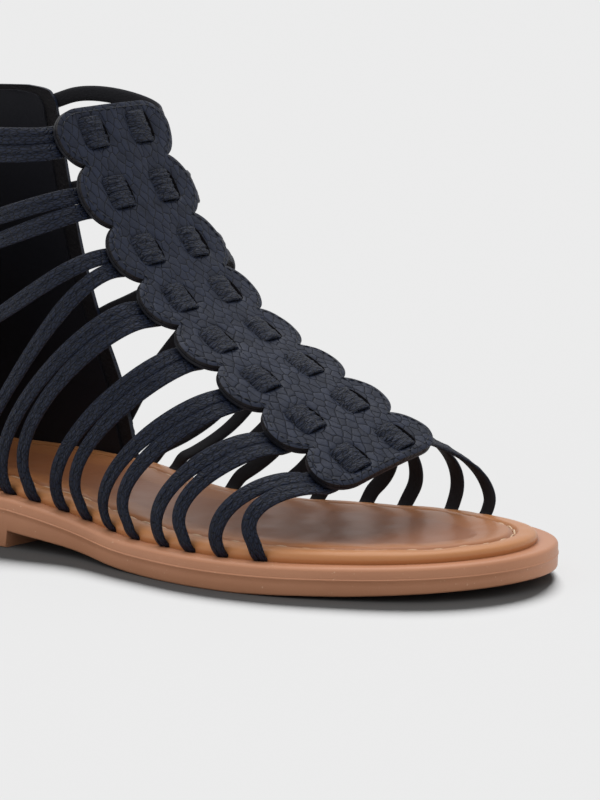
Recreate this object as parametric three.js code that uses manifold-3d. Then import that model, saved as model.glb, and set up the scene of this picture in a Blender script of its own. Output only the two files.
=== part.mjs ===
// A child's gladiator sandal for the right foot: a scalloped centre strip runs up the instep to the
// ankle, eight rows of paired straps are threaded through it, and a closed counter wraps the heel.
// Millimetres. +X points to the toe, +Y to the inner side of the foot, +Z up.
// The tables are written in lasting coordinates, with X = 0 at the back of the heel and Z = 0 on the floor.

import * as THREE from 'three';
import { mergeVertices } from 'three/addons/utils/BufferGeometryUtils.js';
import Module from 'manifold-3d';

const wasm = await Module();
wasm.setup();

// ---------------------------------------------------------------- driving dimensions

const LENGTH = 208;                 // outsole, back of the heel to the tip of the toe
const GAP = 0.3;                    // clearance between pieces that meet

const STRAP = {
  width: 3.7,
  thickness: 1.4,
  pitch: 4,                         // between the two straps of one row
  edge: 0.6,                        // how far the rolled edge is drawn in
  tuck: 10,                         // length held between insole and outsole
  steps: 6,                         // facets along each free length
};

const STRIP = {
  rows: 8,
  thickness: 2.2,
  rowPitch: 15.5,                   // along the strip, between rows of straps
  lobeRadius: 8.5,
  slotRoom: 0.2,                    // more room at the ends of each slot
  endReach: 6.8,                    // from the first and last rows to the ends of the strip
  lobeCentre: 11.6,                 // from the middle of the strip to the centre of each lobe
  archRadius: 200,                  // curve across the instep
};

const SOLE = {
  breast: 72,                       // front face of the heel, from the back
  bottomEdge: 1.2,                  // rounded edge against the floor
  partingDrop: 3,                   // parting line below the ledge
  shoulder: 2.2,                    // rounded shoulder, in from the side wall
  facets: 24,                       // along each side of the outline
};

const INSOLE = {
  rollWidth: 2.6,                   // padded edge roll
  grooveIn: 5.6,                    // stitched groove, in from the edge of the insole
  grooveDepth: 0.8,
  cushionIn: 7,                     // edge of the middle cushion
  dish: 0.9,                        // hollow along the middle
};

const COUNTER = {
  wall: 2.2,
  inset: 2.6,                       // outer face, in from the outline of the outsole
  top: 108.2,
};

// ---------------------------------------------------------------- tables

// Outline of the outsole: half widths either side of the length axis.
const OUTLINE = [
  { x: 0, inner: 0, outer: 0 },
  { x: 10, inner: 20, outer: 20 },
  { x: 25, inner: 27, outer: 27 },
  { x: 50, inner: 29.5, outer: 30.5 },
  { x: 75, inner: 27.8, outer: 30.8 },
  { x: 95, inner: 25.2, outer: 31 },
  { x: 115, inner: 30.5, outer: 36 },
  { x: 140, inner: 38.3, outer: 39.4 },
  { x: 160, inner: 41.5, outer: 37.6 },
  { x: 180, inner: 38, outer: 30.4 },
  { x: 195, inner: 30, outer: 21.4 },
  { x: 203.5, inner: 20.5, outer: 11.4 },
  { x: LENGTH, inner: 5, outer: -5 },
];

// Underside of the outsole: flat heel, breast, rising waist, flat tread under the ball, toe spring.
const UNDERSIDE = [
  { x: 0, z: 0 },
  { x: SOLE.breast, z: 0 },
  { x: SOLE.breast + 0.6, z: 4.1 },
  { x: 91, z: 2.4 },
  { x: 107, z: 0.8 },
  { x: 118, z: 0.2 },
  { x: 127, z: 0 },
  { x: 153, z: 0 },
  { x: 180, z: 1 },
  { x: LENGTH, z: 2.8 },
];

// Top of the outsole, where the insole lies, and how far the insole's edge roll stands above it on
// the inner and the outer side of the foot.
const FOOTBED = [
  { x: 0, ledge: 14, inner: 2.2, outer: 2.2 },
  { x: 40, ledge: 13.6, inner: 1.8, outer: 2.8 },
  { x: 72, ledge: 12.5, inner: 1.5, outer: 3.2 },
  { x: 80, ledge: 11.6, inner: 1.4, outer: 3.4 },
  { x: 88, ledge: 10.4, inner: 1.5, outer: 3.6 },
  { x: 96, ledge: 9.2, inner: 1.7, outer: 3.7 },
  { x: 105, ledge: 8.2, inner: 1.7, outer: 3.5 },
  { x: 115, ledge: 7.6, inner: 1.7, outer: 3.4 },
  { x: 127, ledge: 7.4, inner: 1.8, outer: 3.3 },
  { x: 153, ledge: 7.4, inner: 1.9, outer: 3.2 },
  { x: 180, ledge: 7.9, inner: 2.2, outer: 2.9 },
  { x: LENGTH, ledge: 9, inner: 2.7, outer: 2.7 },
];
const RIM_SPAN = 60;                // width over which the edge roll changes from outer to inner height

// How far the edge of the insole is drawn in from the outline: more at the heel, inside the counter.
const INSOLE_EDGE = [
  { x: 0, inset: 5.4 },
  { x: 66, inset: 5.4 },
  { x: 74, inset: 3.8 },
  { x: 165, inset: 3.8 },
  { x: LENGTH, inset: 5 },
];

// Centre line of the strip by strap row; lead and rise tilt its inner edge forwards and up.
const STRIP_LINE = [
  { row: 0.4, x: 79.8, y: -0.5, z: 109.8, lead: 0, rise: 0 },
  { row: 1, x: 83.7, y: -0.5, z: 101.3, lead: 0, rise: 0 },
  { row: 2, x: 91.6, y: -0.5, z: 87.1, lead: 0, rise: 0 },
  { row: 3, x: 100.8, y: -0.4, z: 73.5, lead: 0, rise: 0 },
  { row: 4, x: 110.9, y: -0.4, z: 62.4, lead: 0, rise: 0.01 },
  { row: 5, x: 122.9, y: -0.2, z: 53.2, lead: 0.01, rise: 0.02 },
  { row: 6, x: 135.8, y: 0.3, z: 45.4, lead: 0.03, rise: 0.06 },
  { row: 7, x: 149.1, y: 1.2, z: 37.2, lead: 0.06, rise: 0.11 },
  { row: 8, x: 162, y: 2.2, z: 29.3, lead: 0.08, rise: 0.14 },
  { row: 8.6, x: 169.8, y: 2.8, z: 24.4, lead: 0.09, rise: 0.16 },
];

// Ends of the straps: length x where they pass under the insole, or height z at the counter's front
// edge, with the fall of the strap over each millimetre back and the length laid on the counter.
const STRAP_ENDS = [
  { row: 1, strap: 'rear', at: 'counter', inner: 104.5, outer: 100.3, fallIn: 0.35, fallOut: 0.1, laid: 13 },
  { row: 1, strap: 'front', at: 'counter', inner: 98.8, outer: 95, fallIn: 0.35, fallOut: 0.15, laid: 13 },
  { row: 2, strap: 'rear', at: 'counter', inner: 82, outer: 76.5, fallIn: 0.25, fallOut: 0.25, laid: 13 },
  { row: 2, strap: 'front', at: 'counter', inner: 76, outer: 70, fallIn: 0.25, fallOut: 0.25, laid: 13 },
  { row: 3, strap: 'rear', at: 'counter', inner: 50, outer: 51, fallIn: 0.5, fallOut: 0.5, laid: 13 },
  { row: 3, strap: 'front', at: 'counter', inner: 26.5, outer: 26.5, fallIn: 1.4, fallOut: 1.4, laid: 6.5 },
  { row: 4, strap: 'rear', at: 'sole', inner: 71.5, outer: 70 },
  { row: 4, strap: 'front', at: 'sole', inner: 80.3, outer: 78.7 },
  { row: 5, strap: 'rear', at: 'sole', inner: 90, outer: 88 },
  { row: 5, strap: 'front', at: 'sole', inner: 99, outer: 95.8 },
  { row: 6, strap: 'rear', at: 'sole', inner: 111, outer: 105.3 },
  { row: 6, strap: 'front', at: 'sole', inner: 121, outer: 115.4 },
  { row: 7, strap: 'rear', at: 'sole', inner: 133.5, outer: 126.7 },
  { row: 7, strap: 'front', at: 'sole', inner: 143.8, outer: 136 },
  { row: 8, strap: 'rear', at: 'sole', inner: 157.5, outer: 146.7 },
  { row: 8, strap: 'front', at: 'sole', inner: 169.5, outer: 158 },
];

// Arc of the free lengths by row and side: reach away from the strip and up from the far end, as shares
// of the span, lift off the strip, lean outwards and sweep towards the toe at the far end, and how late
// the two straps part.
const STRAP_ARCS = [
  { row: 1, side: 'outer', away: 0.3, up: 0.3, lift: 0, lean: 0, sweep: 0, part: 1 },
  { row: 1, side: 'inner', away: 0.3, up: 0.35, lift: 0.1, lean: 0, sweep: 0, part: 1 },
  { row: 2, side: 'outer', away: 0.3, up: 0.3, lift: 0, lean: 0, sweep: 0, part: 1 },
  { row: 2, side: 'inner', away: 0.42, up: 0.3, lift: 0, lean: 0, sweep: 0, part: 1 },
  { row: 3, side: 'outer', away: 0.32, up: 0.3, lift: 0, lean: 0, sweep: 0, part: 1.6 },
  { row: 3, side: 'inner', away: 0.42, up: 0.3, lift: 0, lean: 0, sweep: 0, part: 1.6 },
  { row: 4, side: 'outer', away: 0.28, up: 0.31, lift: 0.3, lean: 0, sweep: 0, part: 4 },
  { row: 4, side: 'inner', away: 0.42, up: 0.61, lift: -0.62, lean: 0.48, sweep: 1, part: 2 },
  { row: 5, side: 'outer', away: 0.28, up: 0.29, lift: 0, lean: 0.1, sweep: 0, part: 4 },
  { row: 5, side: 'inner', away: 0.43, up: 0.59, lift: -0.5, lean: 0.34, sweep: 0.83, part: 2 },
  { row: 6, side: 'outer', away: 0.31, up: 0.33, lift: 0.24, lean: 0.1, sweep: 0, part: 4 },
  { row: 6, side: 'inner', away: 0.38, up: 0.4, lift: -0.54, lean: 0.19, sweep: 0.55, part: 2.2 },
  { row: 7, side: 'outer', away: 0.42, up: 0.37, lift: 0.7, lean: 0.05, sweep: 0, part: 3.2 },
  { row: 7, side: 'inner', away: 0.39, up: 0.36, lift: -0.78, lean: 0.14, sweep: 0.36, part: 2.4 },
  { row: 8, side: 'outer', away: 0.6, up: 0.42, lift: 0.75, lean: 0, sweep: 0, part: 2.6 },
  { row: 8, side: 'inner', away: 0.41, up: 0.38, lift: -0.51, lean: -0.03, sweep: -0.2, part: 1.7 },
];

// How a strap weaves through the strip, from the middle out: distance across, and height of the
// strap's centre from the middle of the strip.
const WEAVE = [
  { across: 2.8, lift: -2.2 },
  { across: 5.5, lift: 1.3 },
  { across: 11.3, lift: 1.3 },
  { across: 14, lift: -2.2 },
  { across: 19.8, lift: -2.2 },
];

// Heel counter by height: how far its back is set forward, its width against the sole, its front edge.
const HEEL = [
  { z: 13, forward: 0, narrow: 1, front: 66.5 },
  { z: 22, forward: -1, narrow: 1, front: 64.2 },
  { z: 32, forward: -1, narrow: 0.99, front: 61.5 },
  { z: 49, forward: 0.5, narrow: 0.93, front: 55 },
  { z: 64, forward: 3, narrow: 0.89, front: 50.8 },
  { z: 82, forward: 6.5, narrow: 0.88, front: 46.8 },
  { z: 94, forward: 8.5, narrow: 0.9, front: 44 },
  { z: 101, forward: 9.5, narrow: 0.92, front: 42.3 },
  { z: 105.7, forward: 9.9, narrow: 0.93, front: 40.5 },
  { z: 107.5, forward: 10.1, narrow: 0.93, front: 37.8 },
  { z: COUNTER.top, forward: 10.2, narrow: 0.93, front: 33 },
];

// ---------------------------------------------------------------- curves through the tables

function curve(table, key, column) {
  const knots = table.map((line) => line[key]);
  const values = table.map((line) => line[column]);
  const interpolant = new THREE.CubicInterpolant(knots, values, 1);
  return (at) => interpolant.evaluate(at)[0];
}

function straight(table, key, column) {
  const knots = table.map((line) => line[key]);
  const values = table.map((line) => line[column]);
  const interpolant = new THREE.LinearInterpolant(knots, values, 1);
  return (at) => interpolant.evaluate(at)[0];
}

// The outline is read by an angle that runs from 0 at the heel to pi at the toe, so both ends are round.
const angleAt = (x) => Math.acos(1 - (2 * x) / LENGTH);
const outlineByAngle = OUTLINE.map((line) => ({ ...line, angle: angleAt(line.x) }));
const halfWidth = {
  inner: curve(outlineByAngle, 'angle', 'inner'),
  outer: curve(outlineByAngle, 'angle', 'outer'),
};
const SIDE_SIGN = { inner: 1, outer: -1 };

const underside = straight(UNDERSIDE, 'x', 'z');
const ledge = curve(FOOTBED, 'x', 'ledge');
const rimHeight = {
  inner: curve(FOOTBED, 'x', 'inner'),
  outer: curve(FOOTBED, 'x', 'outer'),
};
const insoleEdge = straight(INSOLE_EDGE, 'x', 'inset');

function rim(x, y) {
  const share = THREE.MathUtils.clamp(0.5 + y / RIM_SPAN, 0, 1);
  return THREE.MathUtils.lerp(rimHeight.outer(x), rimHeight.inner(x), share);
}

function outlinePoint(angle, side) {
  const x = (LENGTH / 2) * (1 - Math.cos(angle));
  return new THREE.Vector2(x, SIDE_SIGN[side] * halfWidth[side](angle));
}

// A point of the outline, and the way along it towards the toe, moved in by a distance.
function insetPoint(angle, side, inset) {
  const step = 0.002;
  const from = outlinePoint(Math.max(angle - step, 0), side);
  const to = outlinePoint(Math.min(angle + step, Math.PI), side);
  const along = to.clone().sub(from).normalize();
  const inwards = new THREE.Vector2(along.y, -along.x).multiplyScalar(SIDE_SIGN[side]);
  if (angle < step) inwards.set(1, 0);
  if (angle > Math.PI - step) inwards.set(-1, 0);
  const point = outlinePoint(angle, side).addScaledVector(inwards, inset);
  return { x: point.x, y: point.y, along, inwards };
}

// ---------------------------------------------------------------- solids from rings and sweeps

function geometryFrom(points, triangles) {
  const geometry = new THREE.BufferGeometry();
  const positions = points.flatMap((point) => [point.x, point.y, point.z]);
  geometry.setAttribute('position', new THREE.Float32BufferAttribute(positions, 3));
  geometry.setIndex(triangles);
  return geometry;
}

// Quads between two closed loops of points, each given by the index of its first point.
function skin(triangles, first, second, count) {
  for (let i = 0; i < count; i += 1) {
    const j = (i + 1) % count;
    triangles.push(first + i, first + j, second + j);
    triangles.push(first + i, second + j, second + i);
  }
}

// A sole layer: rings stacked from the bottom up, closed across by rungs from inner to outer side.
const SOLE_STATIONS = [];
for (let i = 0; i <= SOLE.facets; i += 1) {
  SOLE_STATIONS.push((i * Math.PI) / SOLE.facets);
}
SOLE_STATIONS.push(angleAt(SOLE.breast), angleAt(SOLE.breast + 0.6));
SOLE_STATIONS.sort((a, b) => a - b);

function soleRing(insetAt, heightAt) {
  const inner = SOLE_STATIONS.map((angle) => insetPoint(angle, 'inner', insetAt(angle)));
  const outer = SOLE_STATIONS.slice(1, -1).map((angle) => insetPoint(angle, 'outer', insetAt(angle)));
  return [...inner, ...outer.reverse()].map(({ x, y }) => new THREE.Vector3(x, y, heightAt(x, y)));
}

function soleLayer(rings, dish) {
  const count = rings[0].length;
  const last = SOLE_STATIONS.length - 1;
  const points = rings.flat();
  const triangles = [];
  for (let ring = 0; ring + 1 < rings.length; ring += 1) {
    skin(triangles, (ring + 1) * count, ring * count, count);
  }
  // Underside: rungs between the two sides.
  for (let i = 0; i < last; i += 1) {
    const a = i;
    const b = i + 1;
    const c = (count - i) % count;
    const d = (count - i - 1) % count;
    if (i < last - 1) triangles.push(b, d, a);
    if (i > 0 && i < last - 1) triangles.push(a, d, c);
    if (i === last - 1) triangles.push(a, b, c);
  }
  // Top: rungs with a point in the middle, which may be dished.
  const top = (rings.length - 1) * count;
  const middles = [];
  for (let i = 1; i < last; i += 1) {
    const middle = points[top + i].clone().add(points[top + count - i]).multiplyScalar(0.5);
    middle.z -= dish * Math.sin(Math.PI * i / last) ** 0.5;
    middles.push(points.push(middle) - 1);
  }
  middles.forEach((middle, k) => {
    const i = k + 1;
    const next = middles[k + 1];
    const innerHere = top + i;
    const outerHere = top + count - i;
    if (k === 0) triangles.push(top, middle, innerHere, top, outerHere, middle);
    if (next === undefined) {
      triangles.push(innerHere, middle, top + last, outerHere, top + last, middle);
    } else {
      triangles.push(innerHere, middle, next, innerHere, next, innerHere + 1);
      triangles.push(middle, outerHere, outerHere - 1, middle, outerHere - 1, next);
    }
  });
  return geometryFrom(points, triangles);
}

// A flat strap swept along stations of { point, wide }, where wide runs across the strap.
function sweep(path, section) {
  const points = [];
  const triangles = [];
  const count = section.length;
  path.forEach((station, i) => {
    const before = path[Math.max(i - 1, 0)].point;
    const after = path[Math.min(i + 1, path.length - 1)].point;
    const arriving = station.point.clone().sub(before).normalize();
    const leaving = after.clone().sub(station.point).normalize();
    if (i === 0) arriving.copy(leaving);
    if (i === path.length - 1) leaving.copy(arriving);
    const along = arriving.clone().add(leaving).normalize();
    const mitre = 1 / Math.max(along.dot(arriving), 0.6);
    const wide = station.wide.clone().addScaledVector(along, -station.wide.dot(along)).normalize();
    const thick = along.clone().cross(wide);
    section.forEach(([across, up]) => {
      const point = station.point.clone();
      point.addScaledVector(wide, across).addScaledVector(thick, up * mitre);
      points.push(point);
    });
    if (i > 0) skin(triangles, (i - 1) * count, i * count, count);
  });
  const last = (path.length - 1) * count;
  for (let i = 1; i + 1 < count; i += 1) {
    triangles.push(0, i + 1, i);
    triangles.push(last, last + i, last + i + 1);
  }
  return geometryFrom(points, triangles);
}

const halfStrap = { across: STRAP.width / 2, up: STRAP.thickness / 2 };
const STRAP_SECTION = [
  [halfStrap.across, 0],
  [halfStrap.across - STRAP.edge, halfStrap.up],
  [STRAP.edge - halfStrap.across, halfStrap.up],
  [-halfStrap.across, 0],
  [STRAP.edge - halfStrap.across, -halfStrap.up],
  [halfStrap.across - STRAP.edge, -halfStrap.up],
];
// Section of the room that a strap of a given half width takes up, with clearance all round.
function clearanceSection(half) {
  const across = half + GAP;
  const up = halfStrap.up + GAP;
  return [[across, up], [-across, up], [-across, -up], [across, -up]];
}

// ---------------------------------------------------------------- cutting

function solidFrom(geometry) {
  const merged = mergeVertices(geometry);
  return new wasm.Manifold(new wasm.Mesh({
    numProp: 3,
    vertProperties: new Float32Array(merged.attributes.position.array),
    triVerts: new Uint32Array(merged.index.array),
  }));
}

function geometryOf(solid) {
  const mesh = solid.getMesh();
  const geometry = new THREE.BufferGeometry();
  geometry.setAttribute('position', new THREE.BufferAttribute(mesh.vertProperties.slice(), 3));
  geometry.setIndex(new THREE.BufferAttribute(mesh.triVerts.slice(), 1));
  return geometry;
}

function cut(geometry, tools) {
  const solid = tools.reduce((left, tool) => left.subtract(solidFrom(tool)), solidFrom(geometry));
  return geometryOf(solid);
}

// ---------------------------------------------------------------- surface of the centre strip

const stripCurves = {};
['x', 'y', 'z', 'lead', 'rise'].forEach((column) => {
  stripCurves[column] = curve(STRIP_LINE, 'row', column);
});

function stripCentre(row) {
  return new THREE.Vector3(stripCurves.x(row), stripCurves.y(row), stripCurves.z(row));
}

// Point on the middle of the strip: row counts along it, across is measured round its arch.
function stripPoint(row, across, lift = 0) {
  const centre = stripCentre(row);
  const step = 0.02;
  const along = stripCentre(row + step).sub(stripCentre(row - step)).normalize();
  const wide = new THREE.Vector3(stripCurves.lead(row), 1, stripCurves.rise(row));
  wide.addScaledVector(along, -wide.dot(along)).normalize();
  const out = along.clone().cross(wide);
  const turn = across / STRIP.archRadius;
  const normal = out.clone().multiplyScalar(Math.cos(turn)).addScaledVector(wide, Math.sin(turn));
  const point = centre.addScaledVector(out, -STRIP.archRadius);
  point.addScaledVector(normal, STRIP.archRadius + lift);
  const sideways = wide.multiplyScalar(Math.cos(turn)).addScaledVector(out, -Math.sin(turn));
  return { point, along, sideways, normal };
}

// The strip's outline is a round lobe at each row, and its ends are cut square between the last lobes.
function stripHalfWidth(row) {
  const nearest = Math.min(Math.max(Math.round(row), 1), STRIP.rows);
  const reach = row < 1 || row > STRIP.rows ? STRIP.endReach : STRIP.lobeRadius;
  const away = Math.min((Math.abs(row - nearest) * STRIP.rowPitch) / reach, 1);
  return STRIP.lobeCentre + STRIP.lobeRadius * Math.sqrt(1 - away ** 2);
}

function stripSolid() {
  const valley = STRIP.rowPitch / 2;
  const rows = [];
  const endArc = [1, 0.94, 0.8, 0.5].map((share) => share * STRIP.endReach);
  for (let row = 1; row <= STRIP.rows; row += 1) {
    const behind = row === 1 ? endArc : [valley, 6, 3.4];
    const ahead = row === STRIP.rows ? [...endArc].reverse() : [3.4, 6];
    behind.forEach((distance) => rows.push(row - distance / STRIP.rowPitch));
    rows.push(row);
    ahead.forEach((distance) => rows.push(row + distance / STRIP.rowPitch));
  }
  const columns = 4;
  const loop = 2 * columns;
  const points = [];
  const triangles = [];
  rows.forEach((row, i) => {
    for (let k = 0; k < loop; k += 1) {
      const onTop = k < columns;
      const share = (onTop ? k : loop - 1 - k) / (columns - 1);
      const across = (2 * share - 1) * stripHalfWidth(row);
      points.push(stripPoint(row, across, (onTop ? 0.5 : -0.5) * STRIP.thickness).point);
    }
    if (i > 0) skin(triangles, i * loop, (i - 1) * loop, loop);
  });
  const last = (rows.length - 1) * loop;
  for (let k = 0; k + 1 < columns; k += 1) {
    const below = loop - 1 - k;
    triangles.push(k, k + 1, below, k + 1, below - 1, below);
    triangles.push(last + k, last + below, last + k + 1);
    triangles.push(last + k + 1, last + below, last + below - 1);
  }
  return geometryFrom(points, triangles);
}

// ---------------------------------------------------------------- surface of the heel counter

const heelCurves = {};
['forward', 'narrow', 'front'].forEach((column) => {
  heelCurves[column] = curve(HEEL, 'z', column);
});

// The counter's sections are the heel end of the outsole, set forward and narrowed with height.
function counterPoint(angle, side, z, inset) {
  const { x, y, along } = insetPoint(angle, side, inset);
  const point = new THREE.Vector3(x + heelCurves.forward(z), y * heelCurves.narrow(z), z);
  return { point, along: new THREE.Vector3(along.x, along.y, 0) };
}

function counterFrontAngle(z) {
  return angleAt(heelCurves.front(z) - heelCurves.forward(z));
}

function counterSolid() {
  const heights = [0, 0.1, 0.22, 0.36, 0.5, 0.64, 0.78, 0.88, 0.94, 0.975, 0.993, 1];
  const columns = 21;
  const loop = 2 * columns;
  const points = [];
  const triangles = [];
  heights.forEach((height, i) => {
    for (let k = 0; k < loop; k += 1) {
      const outside = k < columns;
      const share = (outside ? k : loop - 1 - k) / (columns - 1);
      const side = share < 0.5 ? 'outer' : 'inner';
      const reach = Math.abs(2 * share - 1);
      const foot = ledge(reach * HEEL[0].front) + GAP;
      const z = foot + (COUNTER.top - foot) * height;
      const inset = COUNTER.inset + (outside ? 0 : COUNTER.wall);
      points.push(counterPoint(reach * counterFrontAngle(z), side, z, inset).point);
    }
    if (i > 0) skin(triangles, i * loop, (i - 1) * loop, loop);
  });
  const last = (heights.length - 1) * loop;
  for (let k = 0; k + 1 < columns; k += 1) {
    const behind = loop - 1 - k;
    triangles.push(k, k + 1, behind, k + 1, behind - 1, behind);
    triangles.push(last + k, last + behind, last + k + 1);
    triangles.push(last + k + 1, last + behind, last + behind - 1);
  }
  return geometryFrom(points, triangles);
}

// ---------------------------------------------------------------- straps

// The free length of a strap: the row's two straps share an arc from the strip to their far ends, and
// each keeps to its own side of it, more so towards its far end.
function freeLength(own, partner, side, arc) {
  const middle = (key) => own[key].point.clone().add(partner[key].point).multiplyScalar(0.5);
  const from = middle('edge');
  const to = middle('foot');
  const leaving = own.edge.sideways.clone().add(partner.edge.sideways);
  leaving.multiplyScalar(SIDE_SIGN[side]).addScaledVector(own.edge.normal, 2 * arc.lift).normalize();
  const arriving = own.arriving.clone().add(partner.arriving).normalize();
  arriving.y -= SIDE_SIGN[side] * arc.lean;
  arriving.x -= arc.sweep;
  arriving.normalize();
  const span = from.distanceTo(to);
  const shared = new THREE.CubicBezierCurve3(
    from,
    from.clone().addScaledVector(leaving, span * arc.away),
    to.clone().addScaledVector(arriving, -span * arc.up),
    to,
  );
  const stations = [];
  for (let i = 1; i < STRAP.steps; i += 1) {
    const share = i / STRAP.steps;
    const apart = own.edge.point.clone().sub(from);
    apart.lerp(own.foot.point.clone().sub(to), share ** arc.part);
    const wide = own.edge.wide.clone().lerp(own.foot.wide, share ** arc.part).normalize();
    stations.push({ point: shared.getPoint(share).add(apart), wide });
  }
  return stations;
}

// Tail of a strap that goes down over the edge of the insole and in under it. Its upper stations are
// raked towards the heel on the outer side of the foot, and towards the toe on the inner side, and
// follow a share of the arc's sweep and lean.
const SOLE_TAIL = [
  { inset: 2.5, height: 4.5, inner: 1.2, outer: -0.7, follow: 1.4 },
  { inset: 3.1, height: 1.5, inner: 0.2, outer: -0.1, follow: 0.4 },
  { inset: 5, height: -0.2, inner: 0, outer: 0, follow: 0 },
  { inset: 5 + STRAP.tuck, height: -0.25, inner: 0, outer: 0, follow: 0 },
];

function arcOf(end, side) {
  return STRAP_ARCS.find((line) => line.row === end.row && line.side === side);
}

function soleTail(end, side, extra = 0) {
  const arc = arcOf(end, side);
  return SOLE_TAIL.map((station, i) => {
    const more = i === SOLE_TAIL.length - 1 ? extra : 0;
    const angle = angleAt(end[side] + station[side] + arc.sweep * station.follow);
    const inset = station.inset + more - arc.lean * station.follow * 0.5;
    const { x: px, y: py, along } = insetPoint(angle, side, inset);
    const point = new THREE.Vector3(px, py, ledge(end[side]) + station.height);
    return { point, wide: new THREE.Vector3(along.x, along.y, 0) };
  });
}

const FALL_ON = { inner: 'fallIn', outer: 'fallOut' };

// Tail of a strap that lies flat on the outside of the counter, from just ahead of its front edge.
function counterTail(end, side) {
  const proud = COUNTER.inset - GAP - STRAP.thickness / 2 - 0.1;
  const ahead = 3;
  const front = counterFrontAngle(end[side]);
  const stations = [];
  for (let i = 0; i <= 3; i += 1) {
    const back = (i / 3) * (end.laid + ahead) - ahead;
    const height = end[side] - end[FALL_ON[side]] * back;
    const angle = front - back / (LENGTH / 2) / Math.sin(front);
    const { point } = counterPoint(angle, side, height, proud);
    const { point: above } = counterPoint(angle, side, height + 1, proud);
    stations.push({ point, wide: above.sub(point).normalize() });
  }
  return stations;
}

// The woven length at a place along the strip, on one side of it, from the middle out.
function weaveAt(along, side) {
  return WEAVE.map(({ across, lift }) => {
    const station = stripPoint(along, SIDE_SIGN[side] * across, lift);
    return { ...station, wide: station.along };
  });
}

function wovenSide(end, side) {
  const offset = (end.strap === 'rear' ? -0.5 : 0.5) * STRAP.pitch;
  return weaveAt(end.row + offset / STRIP.rowPitch, side);
}

// Where the free length on one side of a strap starts and ends.
function strapSide(end, side) {
  const woven = wovenSide(end, side);
  const edge = woven[woven.length - 1];
  const tail = end.at === 'sole' ? soleTail(end, side) : counterTail(end, side);
  if (tail[0].wide.dot(edge.wide) < 0) tail.forEach((station) => station.wide.negate());
  const arriving = tail[1].point.clone().sub(tail[0].point).normalize();
  return { woven, edge, tail, foot: tail[0], arriving };
}

function strapStations(end, side) {
  const partner = STRAP_ENDS.find((line) => line.row === end.row && line.strap !== end.strap);
  const own = strapSide(end, side);
  return [...own.woven, ...freeLength(own, strapSide(partner, side), side, arcOf(end, side)), ...own.tail];
}

function strapPath(end) {
  return [...strapStations(end, 'outer').reverse(), ...strapStations(end, 'inner')];
}

// ---------------------------------------------------------------- pieces

const tan = new THREE.MeshStandardMaterial({ color: 0xb9825a, roughness: 0.6 });
const cushionTan = new THREE.MeshStandardMaterial({ color: 0xc08a5e, roughness: 0.35 });
const navy = new THREE.MeshStandardMaterial({ color: 0x1f2430, roughness: 0.5 });
const navyLight = new THREE.MeshStandardMaterial({ color: 0x2b3140, roughness: 0.5 });

function pieceMesh(name, geometry, material) {
  const mesh = new THREE.Mesh(geometry, material.clone());
  mesh.name = name;
  return mesh;
}

const soleEnds = STRAP_ENDS.filter(({ at }) => at === 'sole');
const tailRoom = soleEnds.flatMap((end) => ['inner', 'outer'].map((side) => (
  sweep(soleTail(end, side, GAP), clearanceSection(halfStrap.across))
)));

function outsoleGeometry() {
  const rings = [
    soleRing(() => SOLE.bottomEdge, (x) => underside(x)),
    soleRing(() => 0.2, (x) => underside(x) + SOLE.bottomEdge),
    soleRing(() => 0, (x) => ledge(x) - SOLE.partingDrop),
    soleRing(() => 0.25 * SOLE.shoulder, (x) => ledge(x) - 0.5 * SOLE.shoulder),
    soleRing(() => SOLE.shoulder, (x) => ledge(x)),
  ];
  return cut(soleLayer(rings, 0), tailRoom);
}

function insoleGeometry() {
  const { rollWidth, grooveIn, grooveDepth, cushionIn, dish } = INSOLE;
  const stationX = (angle) => (LENGTH / 2) * (1 - Math.cos(angle));
  const ring = (inset, height) => soleRing((angle) => insoleEdge(stationX(angle)) + inset, height);
  const rings = [
    ring(0.4, (x) => ledge(x) + GAP),
    ring(0, (x, y) => ledge(x) + GAP + 0.45 * rim(x, y)),
    ring(0.3 * rollWidth, (x, y) => ledge(x) + 0.88 * rim(x, y)),
    ring(rollWidth, (x, y) => ledge(x) + rim(x, y)),
    ring(grooveIn, (x, y) => ledge(x) + rim(x, y) - grooveDepth),
    ring(cushionIn, (x, y) => ledge(x) + rim(x, y) - 0.1),
  ];
  return cut(soleLayer(rings, dish), tailRoom);
}

// Each row's two straps pass through the strip side by side, in slots that they share.
function stripGeometry() {
  const slots = [];
  for (let row = 1; row <= STRIP.rows; row += 1) {
    const path = [...weaveAt(row, 'outer').reverse(), ...weaveAt(row, 'inner')];
    slots.push(sweep(path, clearanceSection((STRAP.pitch + STRAP.width) / 2 + STRIP.slotRoom)));
  }
  return cut(stripSolid(), slots);
}

const shoe = new THREE.Group();
shoe.add(pieceMesh('outsole', outsoleGeometry(), tan));
shoe.add(pieceMesh('insole', insoleGeometry(), cushionTan));
shoe.add(pieceMesh('centre_strip', stripGeometry(), navy));
shoe.add(pieceMesh('heel_counter', counterSolid(), navy));
STRAP_ENDS.forEach((end) => {
  const geometry = sweep(strapPath(end), STRAP_SECTION);
  shoe.add(pieceMesh(`strap_${end.row}_${end.strap}`, geometry, navyLight));
});

// Stand the sandal on the floor with the origin under the middle of its box.
const box = new THREE.Box3().setFromObject(shoe);
const middle = box.getCenter(new THREE.Vector3());
shoe.position.set(-middle.x, -middle.y, -box.min.z);

const sandal = new THREE.Group();
sandal.add(shoe);

export default sandal;
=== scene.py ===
# A child's gladiator sandal for the right foot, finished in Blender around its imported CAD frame.
# Lengths in the tables are millimetres on the last: x from the back of the heel, y to the inner side
# of the foot, z up from the floor. Meshes are in metres, in the frame.

import math

import bmesh
import bpy
import numpy as np
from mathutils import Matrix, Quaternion, Vector, geometry


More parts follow.
